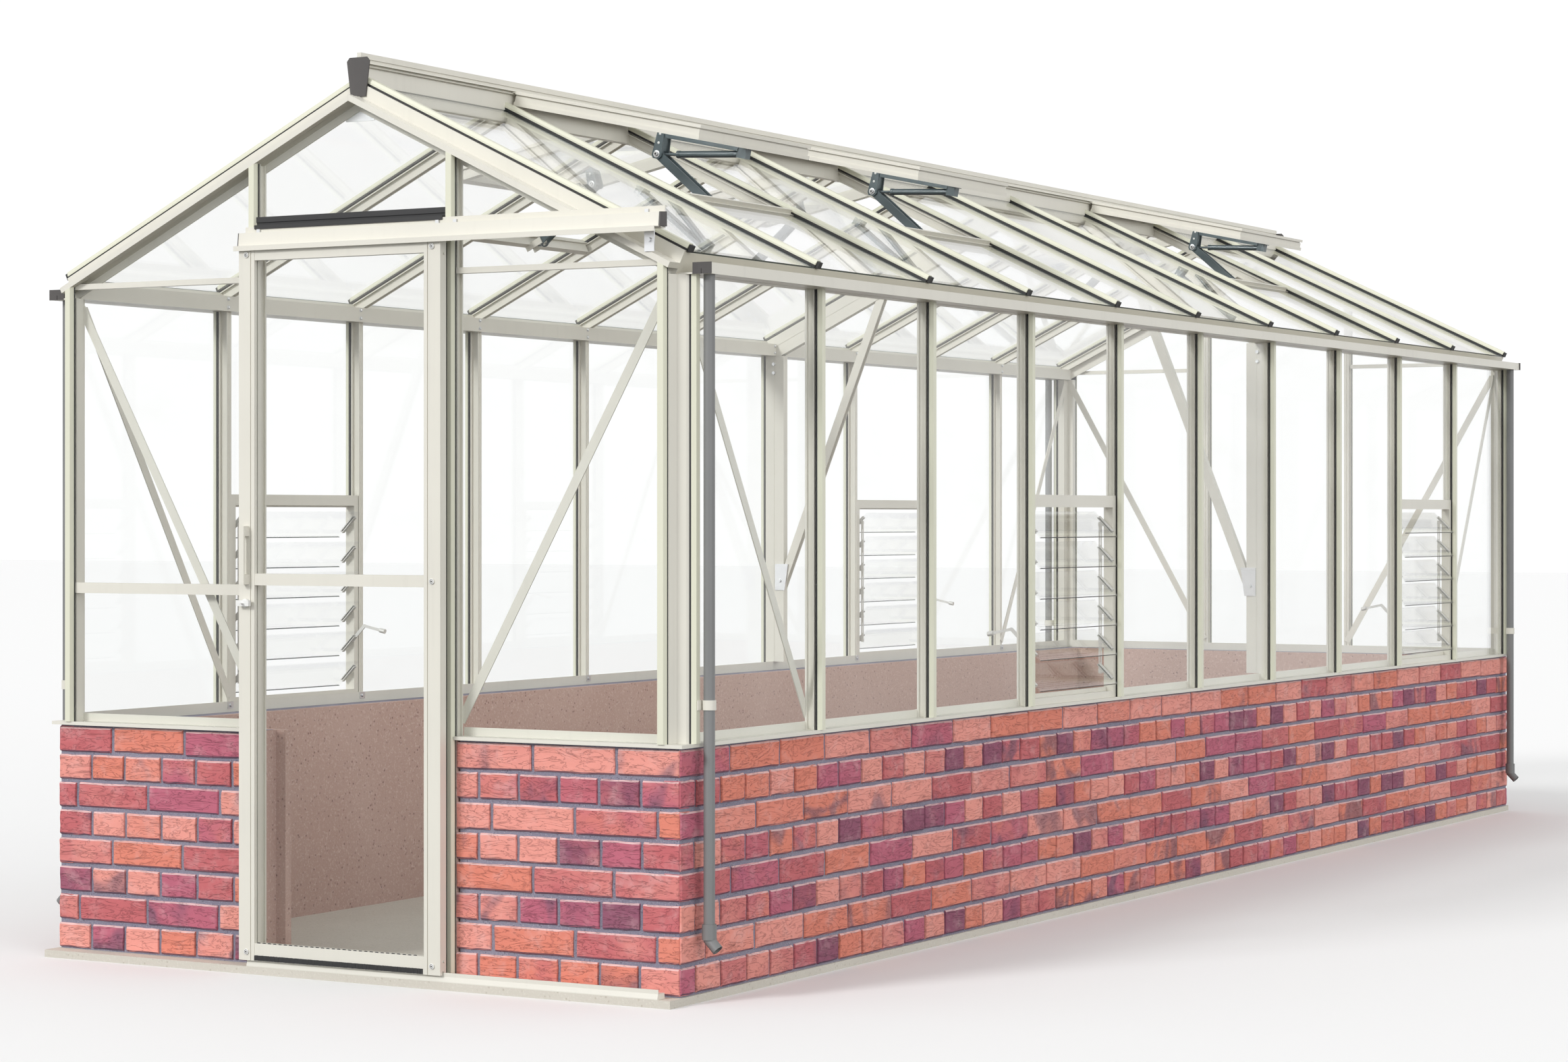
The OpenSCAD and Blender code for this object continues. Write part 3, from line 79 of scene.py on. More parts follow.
class BrickSettings(bpy.types.PropertyGroup):
    brick: length("Brick length", "Length of a whole brick", 0.230)
    joint: length("Joint", "Width of a mortar joint", 0.010)
    depth: length("Brick depth", "Thickness of the outer leaf", 0.102)
    bite: length("Bite", "How deep a modelled brick goes into the mortar", 0.050)
    course: length("Course", "Height of a brick and its joint", 0.075)
    recess: length("Recess", "How far the mortar lies behind the brick faces", 0.008)
    wobble: length("Wobble", "How uneven the arrises are", 0.0038)
    left_phase: length("Left joint", "First stretcher joint of the front left, from the corner", 0.070)
    right_phase: length("Right joint", "Last stretcher joint of the front right, from the corner", 0.070)
    side_header: length("Side header joint", "First joint of the header courses of a long side", 0.075)
    side_phase: length("Side joint", "First joint of the stretcher courses of a long side", 0.124)
    corner: length("Corner", "How far a brick end stays behind the faces round the corner", 0.006)
    seed: IntProperty(name="Seed", description="Changes which brick gets which shade", default=4)
    orange: colour("Orange", "Brightest bricks", (0.74, 0.240, 0.170))
    salmon: colour("Salmon", "Pale pink bricks", (0.82, 0.330, 0.275))
    red: colour("Red", "Most bricks", (0.55, 0.145, 0.155))
    rose: colour("Rose", "Bluish pink bricks", (0.50, 0.135, 0.195))
    plum: colour("Plum", "Hard-burnt bricks", (0.28, 0.095, 0.15))
    # kiln marks, and also the painted shadow on the lower arrises of each brick
    kiln_and_shadow: colour("Kiln marks", "Blue-violet marks on some faces", (0.115, 0.085, 0.135))
    # painted highlight on the upper arrises, and also the sandy bloom on the faces
    arris: colour("Arrises", "Pale upper edges of the bricks", (0.80, 0.58, 0.57))
    mortar: colour("Mortar", "Joints", (0.225, 0.212, 0.275))


class FinishSettings(bpy.types.PropertyGroup):
    ivory: colour("Ivory", "Powder coat of the frame", (0.72, 0.70, 0.625))
    sage: colour("Sage", "Powder coat of the bar caps", (0.71, 0.71, 0.575))
    slate: colour("Slate", "Vent openers", (0.085, 0.115, 0.125))
    mill: colour("Mill finish", "Bare metal of clips, bars and rods", (0.70, 0.69, 0.66))
    seal: colour("Seal", "Gaskets and brushes", (0.018, 0.018, 0.019))
    dust: colour("Dust", "Tint of the panes where dust lies", (0.970, 0.975, 0.968))
    edge: colour("Glass edges", "Cut edges of the panes", (0.040, 0.060, 0.056))
    cap: colour("End caps", "Moulded caps", (0.055, 0.050, 0.048))
    pipe: colour("Pipe", "Rain pipes", (0.185, 0.188, 0.188))
    zinc: colour("Zinc", "Bolts and screws", (0.72, 0.73, 0.74))
    nylon: colour("Nylon", "Rollers and knobs", (0.80, 0.80, 0.78))
    glass: colour("Glass", "Tint of the panes", (0.992, 0.998, 0.995))
    render: colour("Render", "Inner leaf of the wall", (0.50, 0.335, 0.285))
    slab: colour("Slab", "Concrete base", (0.62, 0.585, 0.515))


class TrimSettings(bpy.types.PropertyGroup):
    screw_r: length("Screw radius", "Radius of the white screw heads of the door", 0.0075)
    bolt_r: length("Bolt radius", "Radius of the small bolts along the eaves", 0.006)
    pivot_r: length("Pivot radius", "Radius of the washers on the opener pivots", 0.010)
    rivet_r: length("Rivet radius", "Radius of the opener rivets", 0.004)
    pile: length("Pile", "Length of a brush tuft", 0.012)
    pile_pitch: length("Pile pitch", "Distance between two tufts", 0.0035)
    dash_pitch: length("Dash pitch", "Distance between two teeth of the glazing seal", 0.017)
    seed: IntProperty(name="Seed", description="Changes how the tufts lie", default=9)


class StageSettings(bpy.types.PropertyGroup):
    floor: length("Floor", "Half width of the floor", 60.0, 200.0)
    lens: FloatProperty(name="Lens", description="Focal length of the camera", default=78.41,
                        min=20, max=200, subtype="DISTANCE_CAMERA")
    sky: FloatProperty(name="Sky", description="Strength of the white light near the horizon",
                       default=1.02, min=0, max=5)
    zenith: FloatProperty(name="Zenith", description="Strength of the white light from straight above",
                          default=0.70, min=0, max=5)
    fill: FloatProperty(name="Fill", description="Strength of the wide light on the long side",
                        default=0.98, min=0, max=10)
    key: FloatProperty(name="Key", description="Strength of the soft main light", default=1.68,
                       min=0, max=10)
    bounce: FloatProperty(name="Bounce", description="Share of light that the floor throws back",
                          default=0.27, min=0, max=1)


# ---- node helpers


def put(tree, kind, inputs=None, **props):
    """Adds a node; inputs maps a socket's name or number to a value or to a socket."""
    node = tree.nodes.new(kind)
    for name, value in props.items():
        setattr(node, name, value)
    for key, value in (inputs or {}).items():
        if isinstance(value, bpy.types.NodeSocket):
            tree.links.new(value, node.inputs[key])
        else:
            node.inputs[key].default_value = value
    return node


def sums(tree, operation, *values, clamp=False):
    node = put(tree, "ShaderNodeMath", dict(enumerate(values)), operation=operation)
    node.use_clamp = clamp
    return node.outputs[0]


def times(tree, a, b):
    return sums(tree, "MULTIPLY", a, b)


def plus(tree, a, b, clamp=False):
    return sums(tree, "ADD", a, b, clamp=clamp)


def minus(tree, a, b):
    return sums(tree, "SUBTRACT", a, b)


def vectors(tree, operation, a, b):
    return put(tree, "ShaderNodeVectorMath", {0: a, 1: b}, operation=operation).outputs[0]


def scaled(tree, vector, share):
    return put(tree, "ShaderNodeVectorMath", {0: vector, "Scale": share}, operation="SCALE").outputs[0]


def xyz(tree, x=0.0, y=0.0, z=0.0):
    return put(tree, "ShaderNodeCombineXYZ", {0: x, 1: y, 2: z}).outputs[0]


def rotation(tree, euler):
    return put(tree, "FunctionNodeEulerToRotation", {0: euler}).outputs[0]


def mixed(tree, factor, a, b, blend="MIX"):
    """Colour mix of a and b."""
    node = put(tree, "ShaderNodeMix", {0: factor, 6: a, 7: b}, data_type="RGBA", blend_type=blend)
    return node.outputs[2]


def spread(tree, value, low, high, to_low=0.0, to_high=1.0):
    """value mapped from low..high to to_low..to_high, smoothly and clamped."""
    node = put(tree, "ShaderNodeMapRange", {0: value, 1: low, 2: high, 3: to_low, 4: to_high},
               interpolation_type="SMOOTHSTEP")
    return node.outputs[0]


def noise(tree, vector, scale, detail=3.0, rough=0.55, stretch=None, distortion=0.0):
    if stretch is not None:
        vector = put(tree, "ShaderNodeMapping", {"Vector": vector, "Scale": stretch}).outputs[0]
    node = put(tree, "ShaderNodeTexNoise", {"Vector": vector, "Scale": scale, "Detail": detail,
                                            "Roughness": rough, "Distortion": distortion})
    return node.outputs[0]


def upward(tree):
    """How far a face looks up, from -1 to 1."""
    normal = put(tree, "ShaderNodeNewGeometry").outputs["True Normal"]
    return put(tree, "ShaderNodeSeparateXYZ", {0: normal}).outputs[2]


def group_tree(name, kind, sockets):
    """A node group with (name, socket type, default) inputs and (name, socket type) outputs."""
    tree = bpy.data.node_groups.new(name, kind)
    for entry in sockets["in"]:
        socket = tree.interface.new_socket(entry[0], in_out="INPUT", socket_type=entry[1])
        if len(entry) > 2:
            socket.default_value = entry[2]
    for entry in sockets["out"]:
        tree.interface.new_socket(entry[0], in_out="OUTPUT", socket_type=entry[1])
    return tree, tree.nodes.new("NodeGroupInput").outputs, tree.nodes.new("NodeGroupOutput").inputs


F, C, V = "NodeSocketFloat", "NodeSocketColor", "NodeSocketVector"


def kept(name, make):
    """The node group of this name, made on its first use."""
    return bpy.data.node_groups.get(name) or make(name)


def coat_group(name):
    """Powder coat: faint mottling, rain streaks, painted shade on the undersides and orange-peel height.
    """
    t, i, o = group_tree(name, "ShaderNodeTree", {
        "in": [("Base", C, (0.8, 0.78, 0.7, 1)), ("Shade", C, (0.5, 0.48, 0.42, 1)),
               ("Mottle", F, 0.25), ("Streaks", F, 0.2), ("Roughness", F, 0.4)],
        "out": [("Color", C), ("Roughness", F), ("Height", F)]})
    place = put(t, "ShaderNodeTexCoord").outputs["Object"]
    cloud = noise(t, place, 3.5, 4)
    streak = noise(t, place, 1.0, 3, stretch=(38, 38, 1.6))
    peel = noise(t, place, 900, 2)
    worn = times(t, spread(t, cloud, 0.35, 0.75), i["Mottle"])
    run = times(t, spread(t, streak, 0.52, 0.8), i["Streaks"])
    tone = mixed(t, plus(t, worn, run, clamp=True), i["Base"], i["Shade"])
    # painted shade: faces that look down are darkened towards the Shade colour
    underside_shade = times(t, spread(t, upward(t), -0.15, -0.6), 0.72)
    tone = mixed(t, underside_shade, tone, i["Shade"], "MULTIPLY")
    t.links.new(tone, o["Color"])
    gloss = plus(t, i["Roughness"], times(t, minus(t, cloud, 0.5), 0.18))
    t.links.new(gloss, o["Roughness"])
    t.links.new(peel, o["Height"])
    return t


def stone_group(name):
    """Speckled mineral surface: light and dark grains, soft patches and a pitted height."""
    t, i, o = group_tree(name, "ShaderNodeTree", {
        "in": [("Base", C, (0.5, 0.45, 0.4, 1)), ("Light", C, (0.8, 0.75, 0.7, 1)),
               ("Dark", C, (0.2, 0.15, 0.12, 1)), ("Grain", F, 260.0), ("Speckle", F, 0.5)],
        "out": [("Color", C), ("Height", F)]})
    place = put(t, "ShaderNodeTexCoord").outputs["Object"]
    patch = noise(t, place, 2.2, 5)
    fine = noise(t, place, i["Grain"], 2, 0.6)
    cell = put(t, "ShaderNodeTexVoronoi", {"Vector": place, "Scale": times(t, i["Grain"], 0.45)})
    pit = spread(t, cell.outputs["Distance"], 0.05, 0.32, 1.0, 0.0)
    tone = mixed(t, times(t, spread(t, patch, 0.4, 0.75), 0.25), i["Base"], i["Light"])
    tone = mixed(t, times(t, spread(t, fine, 0.52, 0.72), i["Speckle"]), tone, i["Light"])
    pick = spread(t, noise(t, place, 40, 2), 0.46, 0.58)
    tone = mixed(t, times(t, times(t, pit, pick), i["Speckle"]), tone, i["Dark"])
    t.links.new(tone, o["Color"])
    t.links.new(minus(t, fine, times(t, pit, 0.8)), o["Height"])
    return t


def crease_group(name):
    """Folded clay faces: long torn creases, sandy grain and blotches that differ brick by brick, with a
    painted highlight on the upper arrises and a painted shadow on the lower ones.
    """
    t, i, o = group_tree(name, "ShaderNodeTree", {
        "in": [("Tone", F, 0.5), ("Mark", F, 0.5), ("Orange", C), ("Salmon", C), ("Red", C),
               ("Rose", C), ("Plum", C), ("Kiln_And_Shadow", C), ("Arris", C)],
        "out": [("Color", C), ("Height", F)]})
    place = put(t, "ShaderNodeTexCoord").outputs["Object"]
    own = vectors(t, "ADD", place, xyz(t, times(t, i["Tone"], 61.0), times(t, i["Mark"], 47.0)))
    # burn of the brick, from its tone and mark
    cloud = noise(t, own, 9, 3, 0.5)
    tone = plus(t, i["Tone"], times(t, minus(t, cloud, 0.5), 0.34), clamp=True)
    hue = sums(t, "FRACT", times(t, i["Mark"], 7.0))
    warm = mixed(t, spread(t, hue, 0.45, 0.6), i["Salmon"], i["Orange"])
    dull = mixed(t, spread(t, hue, 0.4, 0.6), i["Red"], i["Rose"])
    base = mixed(t, spread(t, tone, 0.34, 0.62), dull, warm)
    base = mixed(t, spread(t, tone, 0.06, 0.22), i["Plum"], base)
    # kiln marks and sandy bloom
    blot = noise(t, own, 6, 2, 0.5, distortion=0.9)
    often = spread(t, i["Mark"], 0.60, 0.97, 0.76, 0.52)
    blotch = spread(t, minus(t, blot, often), -0.05, 0.09)
    base = mixed(t, times(t, blotch, 0.62), base, i["Kiln_And_Shadow"])
    bloom = spread(t, noise(t, own, 16, 4, 0.65), 0.48, 0.78)
    base = mixed(t, times(t, bloom, 0.28), base, i["Arris"])
    # dark grains and torn creases
    grain = noise(t, place, 320, 3, 0.65)
    base = mixed(t, times(t, spread(t, grain, 0.58, 0.8), 0.28), base, i["Plum"])
    crease = noise(t, own, 10, 4, 0.6, stretch=(1, 1, 4.2), distortion=2.2)
    fold = sums(t, "ABSOLUTE", minus(t, crease, 0.5))
    tear = spread(t, fold, 0.0, 0.02, 1.0, 0.0)
    base = mixed(t, times(t, tear, 0.15), base, i["Plum"])
    # painted highlight on the upper arrises, painted shadow on the lower ones
    up = upward(t)
    base = mixed(t, times(t, spread(t, up, 0.25, 0.6), 0.75), base, i["Arris"])
    base = mixed(t, times(t, spread(t, up, -0.2, -0.6), 0.8), base, i["Kiln_And_Shadow"])
    height = minus(t, times(t, grain, 0.35), times(t, tear, 0.7))
    t.links.new(base, o["Color"])
    t.links.new(plus(t, height, times(t, crease, 0.8)), o["Height"])
    return t


def new_material(name, roughness=0.5, metallic=0.0, specular=0.5):
    mat = bpy.data.materials.new(name)
    mat.use_nodes = True
    tree = mat.node_tree
    shader = tree.nodes["Principled BSDF"]
    shader.inputs["Roughness"].default_value = roughness
    shader.inputs["Metallic"].default_value = metallic
    shader.inputs["Specular IOR Level"].default_value = specular
    return mat, tree, shader


def solid(c):
    return (*c, 1.0)


def darker(c, share):
    return [v * share for v in c]


def bump(tree, shader, height, depth, strength=1.0):
    node = put(tree, "ShaderNodeBump", {"Height": height, "Distance": depth, "Strength": strength})
    tree.links.new(node.outputs[0], shader.inputs["Normal"])


def coated(name, base, shade, mottle=0.25, streaks=0.2, roughness=0.38, metallic=0.0, peel=0.00012):
    """Material of powder-coated metal or moulded plastic."""
    mat, tree, shader = new_material(name, roughness, metallic)
    g = put(tree, "ShaderNodeGroup", {
        "Base": solid(base), "Shade": solid(shade), "Mottle": mottle, "Streaks": streaks,
        "Roughness": roughness}, node_tree=kept("Coat", coat_group))
    tree.links.new(g.outputs["Color"], shader.inputs["Base Color"])
    tree.links.new(g.outputs["Roughness"], shader.inputs["Roughness"])
    bump(tree, shader, g.outputs["Height"], peel, 0.6)
    return mat


def mineral(name, base, light, dark, grain, speckle, depth=0.0006):
    """Material of concrete, render or mortar."""
    mat, tree, shader = new_material(name, roughness=0.86, specular=0.25)
    g = put(tree, "ShaderNodeGroup", {
        "Base": solid(base), "Light": solid(light), "Dark": solid(dark), "Grain": grain,
        "Speckle": speckle}, node_tree=kept("Stone", stone_group))
    tree.links.new(g.outputs["Color"], shader.inputs["Base Color"])
    bump(tree, shader, g.outputs["Height"], depth, 0.7)
    return mat


def clay(settings):
    """Material of the bricks: each one has its own burn."""
    mat, tree, shader = new_material("brick_clay", roughness=0.82, specular=0.3)
    burns = {key.title(): solid(getattr(settings, key))
             for key in ("orange", "salmon", "red", "rose", "plum", "kiln_and_shadow", "arris")}
    for key in ("tone", "mark"):
        burns[key.title()] = put(tree, "ShaderNodeAttribute", attribute_name=key).outputs["Fac"]
    g = put(tree, "ShaderNodeGroup", burns, node_tree=kept("Clay", crease_group))
    tree.links.new(g.outputs["Color"], shader.inputs["Base Color"])
    bump(tree, shader, g.outputs["Height"], 0.0022, 0.8)
    return mat


def pane(name, tint, dust):
    """Clear float glass: straight view, thin reflection, a trace of dust; lamps shine through it."""
    mat, tree, shader = new_material(name, roughness=0.0)
    place = put(tree, "ShaderNodeTexCoord").outputs["Object"]
    film = spread(tree, noise(tree, place, 2.5, 4, 0.6, stretch=(1, 1, 2.5)), 0.5, 0.85)
    tree.links.new(mixed(tree, film, solid(tint), solid(dust)), shader.inputs["Base Color"])
    shader.inputs["Transmission Weight"].default_value = 1.0
    shader.inputs["IOR"].default_value = 1.0
    shader.inputs["Coat Weight"].default_value = 1.0
    shader.inputs["Coat Roughness"].default_value = 0.0
    shader.inputs["Coat IOR"].default_value = 1.28
    path = put(tree, "ShaderNodeLightPath")
    either = sums(tree, "MAXIMUM", path.outputs["Is Shadow Ray"], path.outputs["Is Diffuse Ray"])
    clear = put(tree, "ShaderNodeBsdfTransparent", {"Color": solid(darker(tint, 0.95))})
    mix = put(tree, "ShaderNodeMixShader", {0: either, 1: shader.outputs[0], 2: clear.outputs[0]})
    tree.links.new(mix.outputs[0], tree.nodes["Material Output"].inputs["Surface"])
    return mat


def dress(material, *names):
    """Gives the CAD pieces of these names the material."""
    for name in names:
        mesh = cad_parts[name].data
        mesh.materials.clear()
        mesh.materials.append(material)


def shells(mesh):
    """Lowest and highest corner of the closed shell that each polygon is in."""
    owner = {}

    def first(key):
        while owner.setdefault(key, key) != key:
            key = owner[key]
        return key

    corners = [tuple(round(c * 1e5) for c in v.co) for v in mesh.vertices]
    for polygon in mesh.polygons:
        keys = [first(corners[v]) for v in polygon.vertices]
        for key in keys[1:]:
            owner[first(key)] = keys[0]
    boxes = {}
    for corner in corners:
        box = boxes.setdefault(first(corner), [list(corner), list(corner)])
        for axis, value in enumerate(corner):
            box[0][axis] = min(box[0][axis], value)
            box[1][axis] = max(box[1][axis], value)
    for box in boxes.values():
        box[:] = [Vector(side) / 1e5 for side in box]
    return [boxes[first(corners[p.vertices[0]])] for p in mesh.polygons]


def paint(name, material, chosen):
    """Gives the material to the faces of a CAD piece that chosen(face, shell box) picks."""
    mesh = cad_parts[name].data
    mesh.materials.append(material)
    number = len(mesh.materials) - 1
    for polygon, box in zip(mesh.polygons, shells(mesh)):
        if chosen(polygon, box):
            polygon.material_index = number


# ---- geometry helpers


def mesh_object(name, mesh):
    obj = bpy.data.objects.new(name, mesh)
    bpy.context.scene.collection.objects.link(obj)
    return obj


def from_bmesh(name, bm):
    mesh = bpy.data.meshes.new(name)
    bm.to_mesh(mesh)
    bm.free()
    return mesh_object(name, mesh)


def new_corners(made):
    """Vertices among what a bmesh operation made."""
    return [v for v in made["geom"] if isinstance(v, bmesh.types.BMVert)]


def extruded_plan(name, outline, foot, head):
    """Closed prism over a plan outline."""
    bm = bmesh.new()
    face = bm.faces.new([bm.verts.new((x, y, foot)) for x, y in outline])
    up = bmesh.ops.extrude_face_region(bm, geom=[face])
    bmesh.ops.translate(bm, vec=(0, 0, head - foot), verts=new_corners(up))
    bmesh.ops.recalc_face_normals(bm, faces=bm.faces)
    return from_bmesh(name, bm)


def baked(obj, tree, inputs, name):
    """Runs a geometry tree on obj, and returns its result as a plain mesh object."""
    modifier = obj.modifiers.new("Make", "NODES")
    modifier.node_group = tree
    for item in tree.interface.items_tree:
        if item.in_out == "INPUT" and item.name in inputs:
            modifier[item.identifier] = inputs[item.name]
    evaluated = obj.evaluated_get(bpy.context.evaluated_depsgraph_get())
    mesh = bpy.data.meshes.new_from_object(evaluated)
    bpy.data.objects.remove(obj)
    mesh.name = name
    return mesh_object(name, mesh)


def brick_blank(settings):
    """One brick, a metre long so that it can be scaled: dense outer face, worn arrises."""
    tall, deep, arris = settings.course - settings.joint, settings.bite, 0.0042
    cols, rows, near, spare = 5, 3, 0.012, 0.002
    bm = bmesh.new()
    xs = [-0.5, -0.5 + near] + [-0.5 + k / cols for k in range(1, cols)] + [0.5 - near, 0.5]
    zs = [-tall / 2, -tall / 2 + arris] + [-tall / 2 + tall * k / rows for k in range(1, rows)]
    zs += [tall / 2 - arris, tall / 2]
    last_x, last_z = len(xs) - 1, len(zs) - 1
    grid = {}
    for a, x in enumerate(xs):
        for b, z in enumerate(zs):
            rim = (a in (0, last_x)) + (b in (0, last_z))
            y = 0.0 if rim == 0 else arris * (0.7 if rim == 1 else 1.3)
            grid[a, b] = bm.verts.new((x, y - deep / 2, z))
    for a in range(last_x):
        for b in range(last_z):
            bm.faces.new((grid[a, b], grid[a + 1, b], grid[a + 1, b + 1], grid[a, b + 1]))
    rim = [e for e in bm.edges if e.is_boundary]
    for v in new_corners(bmesh.ops.extrude_edge_only(bm, edges=rim)):
        v.co.y = deep / 2 - spare
    bmesh.ops.contextual_create(bm, geom=[e for e in bm.edges if e.is_boundary])
    bmesh.ops.recalc_face_normals(bm, faces=bm.faces)
    return from_bmesh("brick_blank", bm)


def brick_run_group():
    """Geometry tree that lays English cross bond along one straight run of wall."""
    # joint off its place, brick off its height, least and most set back, shortest piece laid
    stray, lift, back, shortest = 0.0045, 0.0012, (0.0016, 0.0036), 0.022
    tilt = (0.006, 0.004, 0.006)
    t, i, o = group_tree("Brick run", "GeometryNodeTree", {
        "in": [("Blank", "NodeSocketGeometry"), ("Length", F, 1.0), ("Courses", "NodeSocketInt", 8),
               ("Header start", F, 0.0), ("Stretcher start", F, 0.0), ("Header end", F, 0.0),
               ("Stretcher end", F, 0.0), ("Corner", V), ("Turn", F, 0.0), ("Header phase", F, 0.0),
               ("Stretcher phase", F, 0.0), ("Pitch", F, 0.24), ("Joint", F, 0.01),
               ("Course", F, 0.075), ("Depth", F, 0.05), ("Seed", "NodeSocketInt", 0)],
        "out": [("Bricks", "NodeSocketGeometry")]})
    half = times(t, i["Pitch"], 0.5)
    cols = plus(t, sums(t, "CEIL", sums(t, "DIVIDE", i["Length"], half)), 5.0)
    points = put(t, "GeometryNodePoints", {"Count": times(t, cols, i["Courses"])})
    index = put(t, "GeometryNodeInputIndex").outputs[0]
    row = sums(t, "FLOOR", sums(t, "DIVIDE", plus(t, index, 0.5), cols))
    col = minus(t, index, times(t, row, cols))
    stretcher = sums(t, "MODULO", row, 2.0)
    pitch = times(t, half, plus(t, stretcher, 1.0))

    def blend(a, b):
        return plus(t, times(t, a, minus(t, 1.0, stretcher)), times(t, b, stretcher))

    # every other stretcher course is half a brick further along
    pair = sums(t, "FLOOR", sums(t, "DIVIDE", row, 2.0))
    broken = times(t, half, sums(t, "MODULO", pair, 2.0))
    shift = blend(i["Header phase"], plus(t, i["Stretcher phase"], broken))
    shift = minus(t, shift, times(t, half, 4.0))

    def chance(lowest, highest, offset=0.0, at=index):
        return put(t, "FunctionNodeRandomValue", {
            "Min": lowest, "Max": highest, "ID": at,
            "Seed": plus(t, i["Seed"], offset)}).outputs["Value"]

    def joint_at(column):
        """Place of the joint before this column, a little off the grid."""
        drift = chance(-stray, stray, at=plus(t, times(t, row, 977.0), column))
        return plus(t, plus(t, times(t, column, pitch), shift), drift)

    gap = times(t, i["Joint"], 0.5)
    first = blend(i["Header start"], i["Stretcher start"])
    last = minus(t, i["Length"], blend(i["Header end"], i["Stretcher end"]))
    low = sums(t, "MAXIMUM", plus(t, joint_at(col), gap), first)
    high = sums(t, "MINIMUM", minus(t, joint_at(plus(t, col, 1.0)), gap), last)
    wide = minus(t, high, low)
    inward = plus(t, times(t, i["Depth"], 0.5), chance(*back, 11.0))
    up = times(t, plus(t, row, 0.5), i["Course"])
    up = plus(t, up, chance(-lift, lift, 23.0))
    place = xyz(t, times(t, plus(t, low, high), 0.5), inward, up)
    laid = put(t, "GeometryNodeSetPosition", {"Geometry": points.outputs[0], "Position": place})
    # stored before points go, because that changes the index
    stored = laid.outputs[0]
    burn = chance(times(t, stretcher, 0.2), 1.0, 41.0)
    for key, value in (("wide", wide), ("tone", burn), ("mark", chance(0.0, 1.0, 67.0))):
        stored = put(t, "GeometryNodeStoreNamedAttribute", {
            "Geometry": stored, "Name": key, "Value": value}, data_type="FLOAT").outputs[0]
    slim = put(t, "FunctionNodeCompare", {0: wide, 1: shortest}, data_type="FLOAT",
               operation="LESS_THAN").outputs[0]
    keep = put(t, "GeometryNodeDeleteGeometry", {"Geometry": stored, "Selection": slim}, domain="POINT")
    width = put(t, "GeometryNodeInputNamedAttribute", {"Name": "wide"}, data_type="FLOAT").outputs[0]
    tip = put(t, "FunctionNodeRandomValue", {
        "Min": [-a for a in tilt], "Max": tilt, "Seed": i["Seed"]}, data_type="FLOAT_VECTOR").outputs[0]
    bricks = put(t, "GeometryNodeInstanceOnPoints", {
        "Points": keep.outputs[0], "Instance": i["Blank"], "Scale": xyz(t, width, 1.0, 1.0),
        "Rotation": rotation(t, tip)})
    moved = put(t, "GeometryNodeTransform", {
        "Geometry": bricks.outputs[0], "Translation": i["Corner"],
        "Rotation": rotation(t, xyz(t, z=i["Turn"]))})
    t.links.new(moved.outputs[0], o["Bricks"])
    return t


def brick_wall_tree(runs, blank, material):
    """Geometry tree of the whole outer leaf, with uneven faces."""
    run_tree = brick_run_group()
    t, i, o = group_tree("Brick wall", "GeometryNodeTree", {
        "in": [("Geometry", "NodeSocketGeometry"), ("Joint", F, 0.01), ("Course", F, 0.075),
               ("Pitch", F, 0.24), ("Wobble", F, 0.0038), ("Seed", "NodeSocketInt", 0)],
        "out": [("Geometry", "NodeSocketGeometry")]})
    source = put(t, "GeometryNodeObjectInfo", {"Object": blank}).outputs["Geometry"]
    joined = put(t, "GeometryNodeJoinGeometry")
    for number, run in enumerate(runs):
        g = put(t, "GeometryNodeGroup", {
            "Blank": source, "Joint": i["Joint"], "Course": i["Course"], "Pitch": i["Pitch"],
            "Seed": plus(t, i["Seed"], 100.0 * number), **run}, node_tree=run_tree)
        t.links.new(g.outputs[0], joined.inputs[0])
    real = put(t, "GeometryNodeRealizeInstances", {"Geometry": joined.outputs[0]})
    place = put(t, "GeometryNodeInputPosition").outputs[0]

    def ripple(scale, detail):
        """Noise around zero in all three directions."""
        rough = put(t, "ShaderNodeTexNoise", {"Vector": place, "Scale": scale, "Detail": detail})
        return vectors(t, "SUBTRACT", rough.outputs["Color"], (0.5, 0.5, 0.5))

    push = scaled(t, vectors(t, "ADD", ripple(31.0, 2.0), ripple(95.0, 1.0)), i["Wobble"])
    uneven = put(t, "GeometryNodeSetPosition", {"Geometry": real.outputs[0], "Offset": push})
    done = put(t, "GeometryNodeSetMaterial", {"Geometry": uneven.outputs[0], "Material": material})
    t.links.new(done.outputs[0], o["Geometry"])
    return t


def turned_blank(name, profile, sides, hollow=()):
    """Closed shape turned about Z from (radius, height) pairs; hollow steps take the second finish."""
    bm = bmesh.new()
    mark = bm.faces.layers.float.new("hollow")
    rings = []
    for radius, height in profile:
        if radius == 0:
            rings.append([bm.verts.new((0, 0, height))] * sides)
            continue
        turns = [2 * math.pi * k / sides for k in range(sides)]
        rings.append([bm.verts.new((radius * math.cos(a), radius * math.sin(a), height)) for a in turns])
    for number, (outer, inner) in enumerate(zip(rings, rings[1:])):
        for k in range(sides):
            n = (k + 1) % sides
            corners = list(dict.fromkeys((outer[k], outer[n], inner[n], inner[k])))
            bm.faces.new(corners)[mark] = float(number in hollow)
    if profile[0][0]:
        bm.faces.new(reversed(rings[0]))
    bmesh.ops.recalc_face_normals(bm, faces=bm.faces)
    return from_bmesh(name, bm)


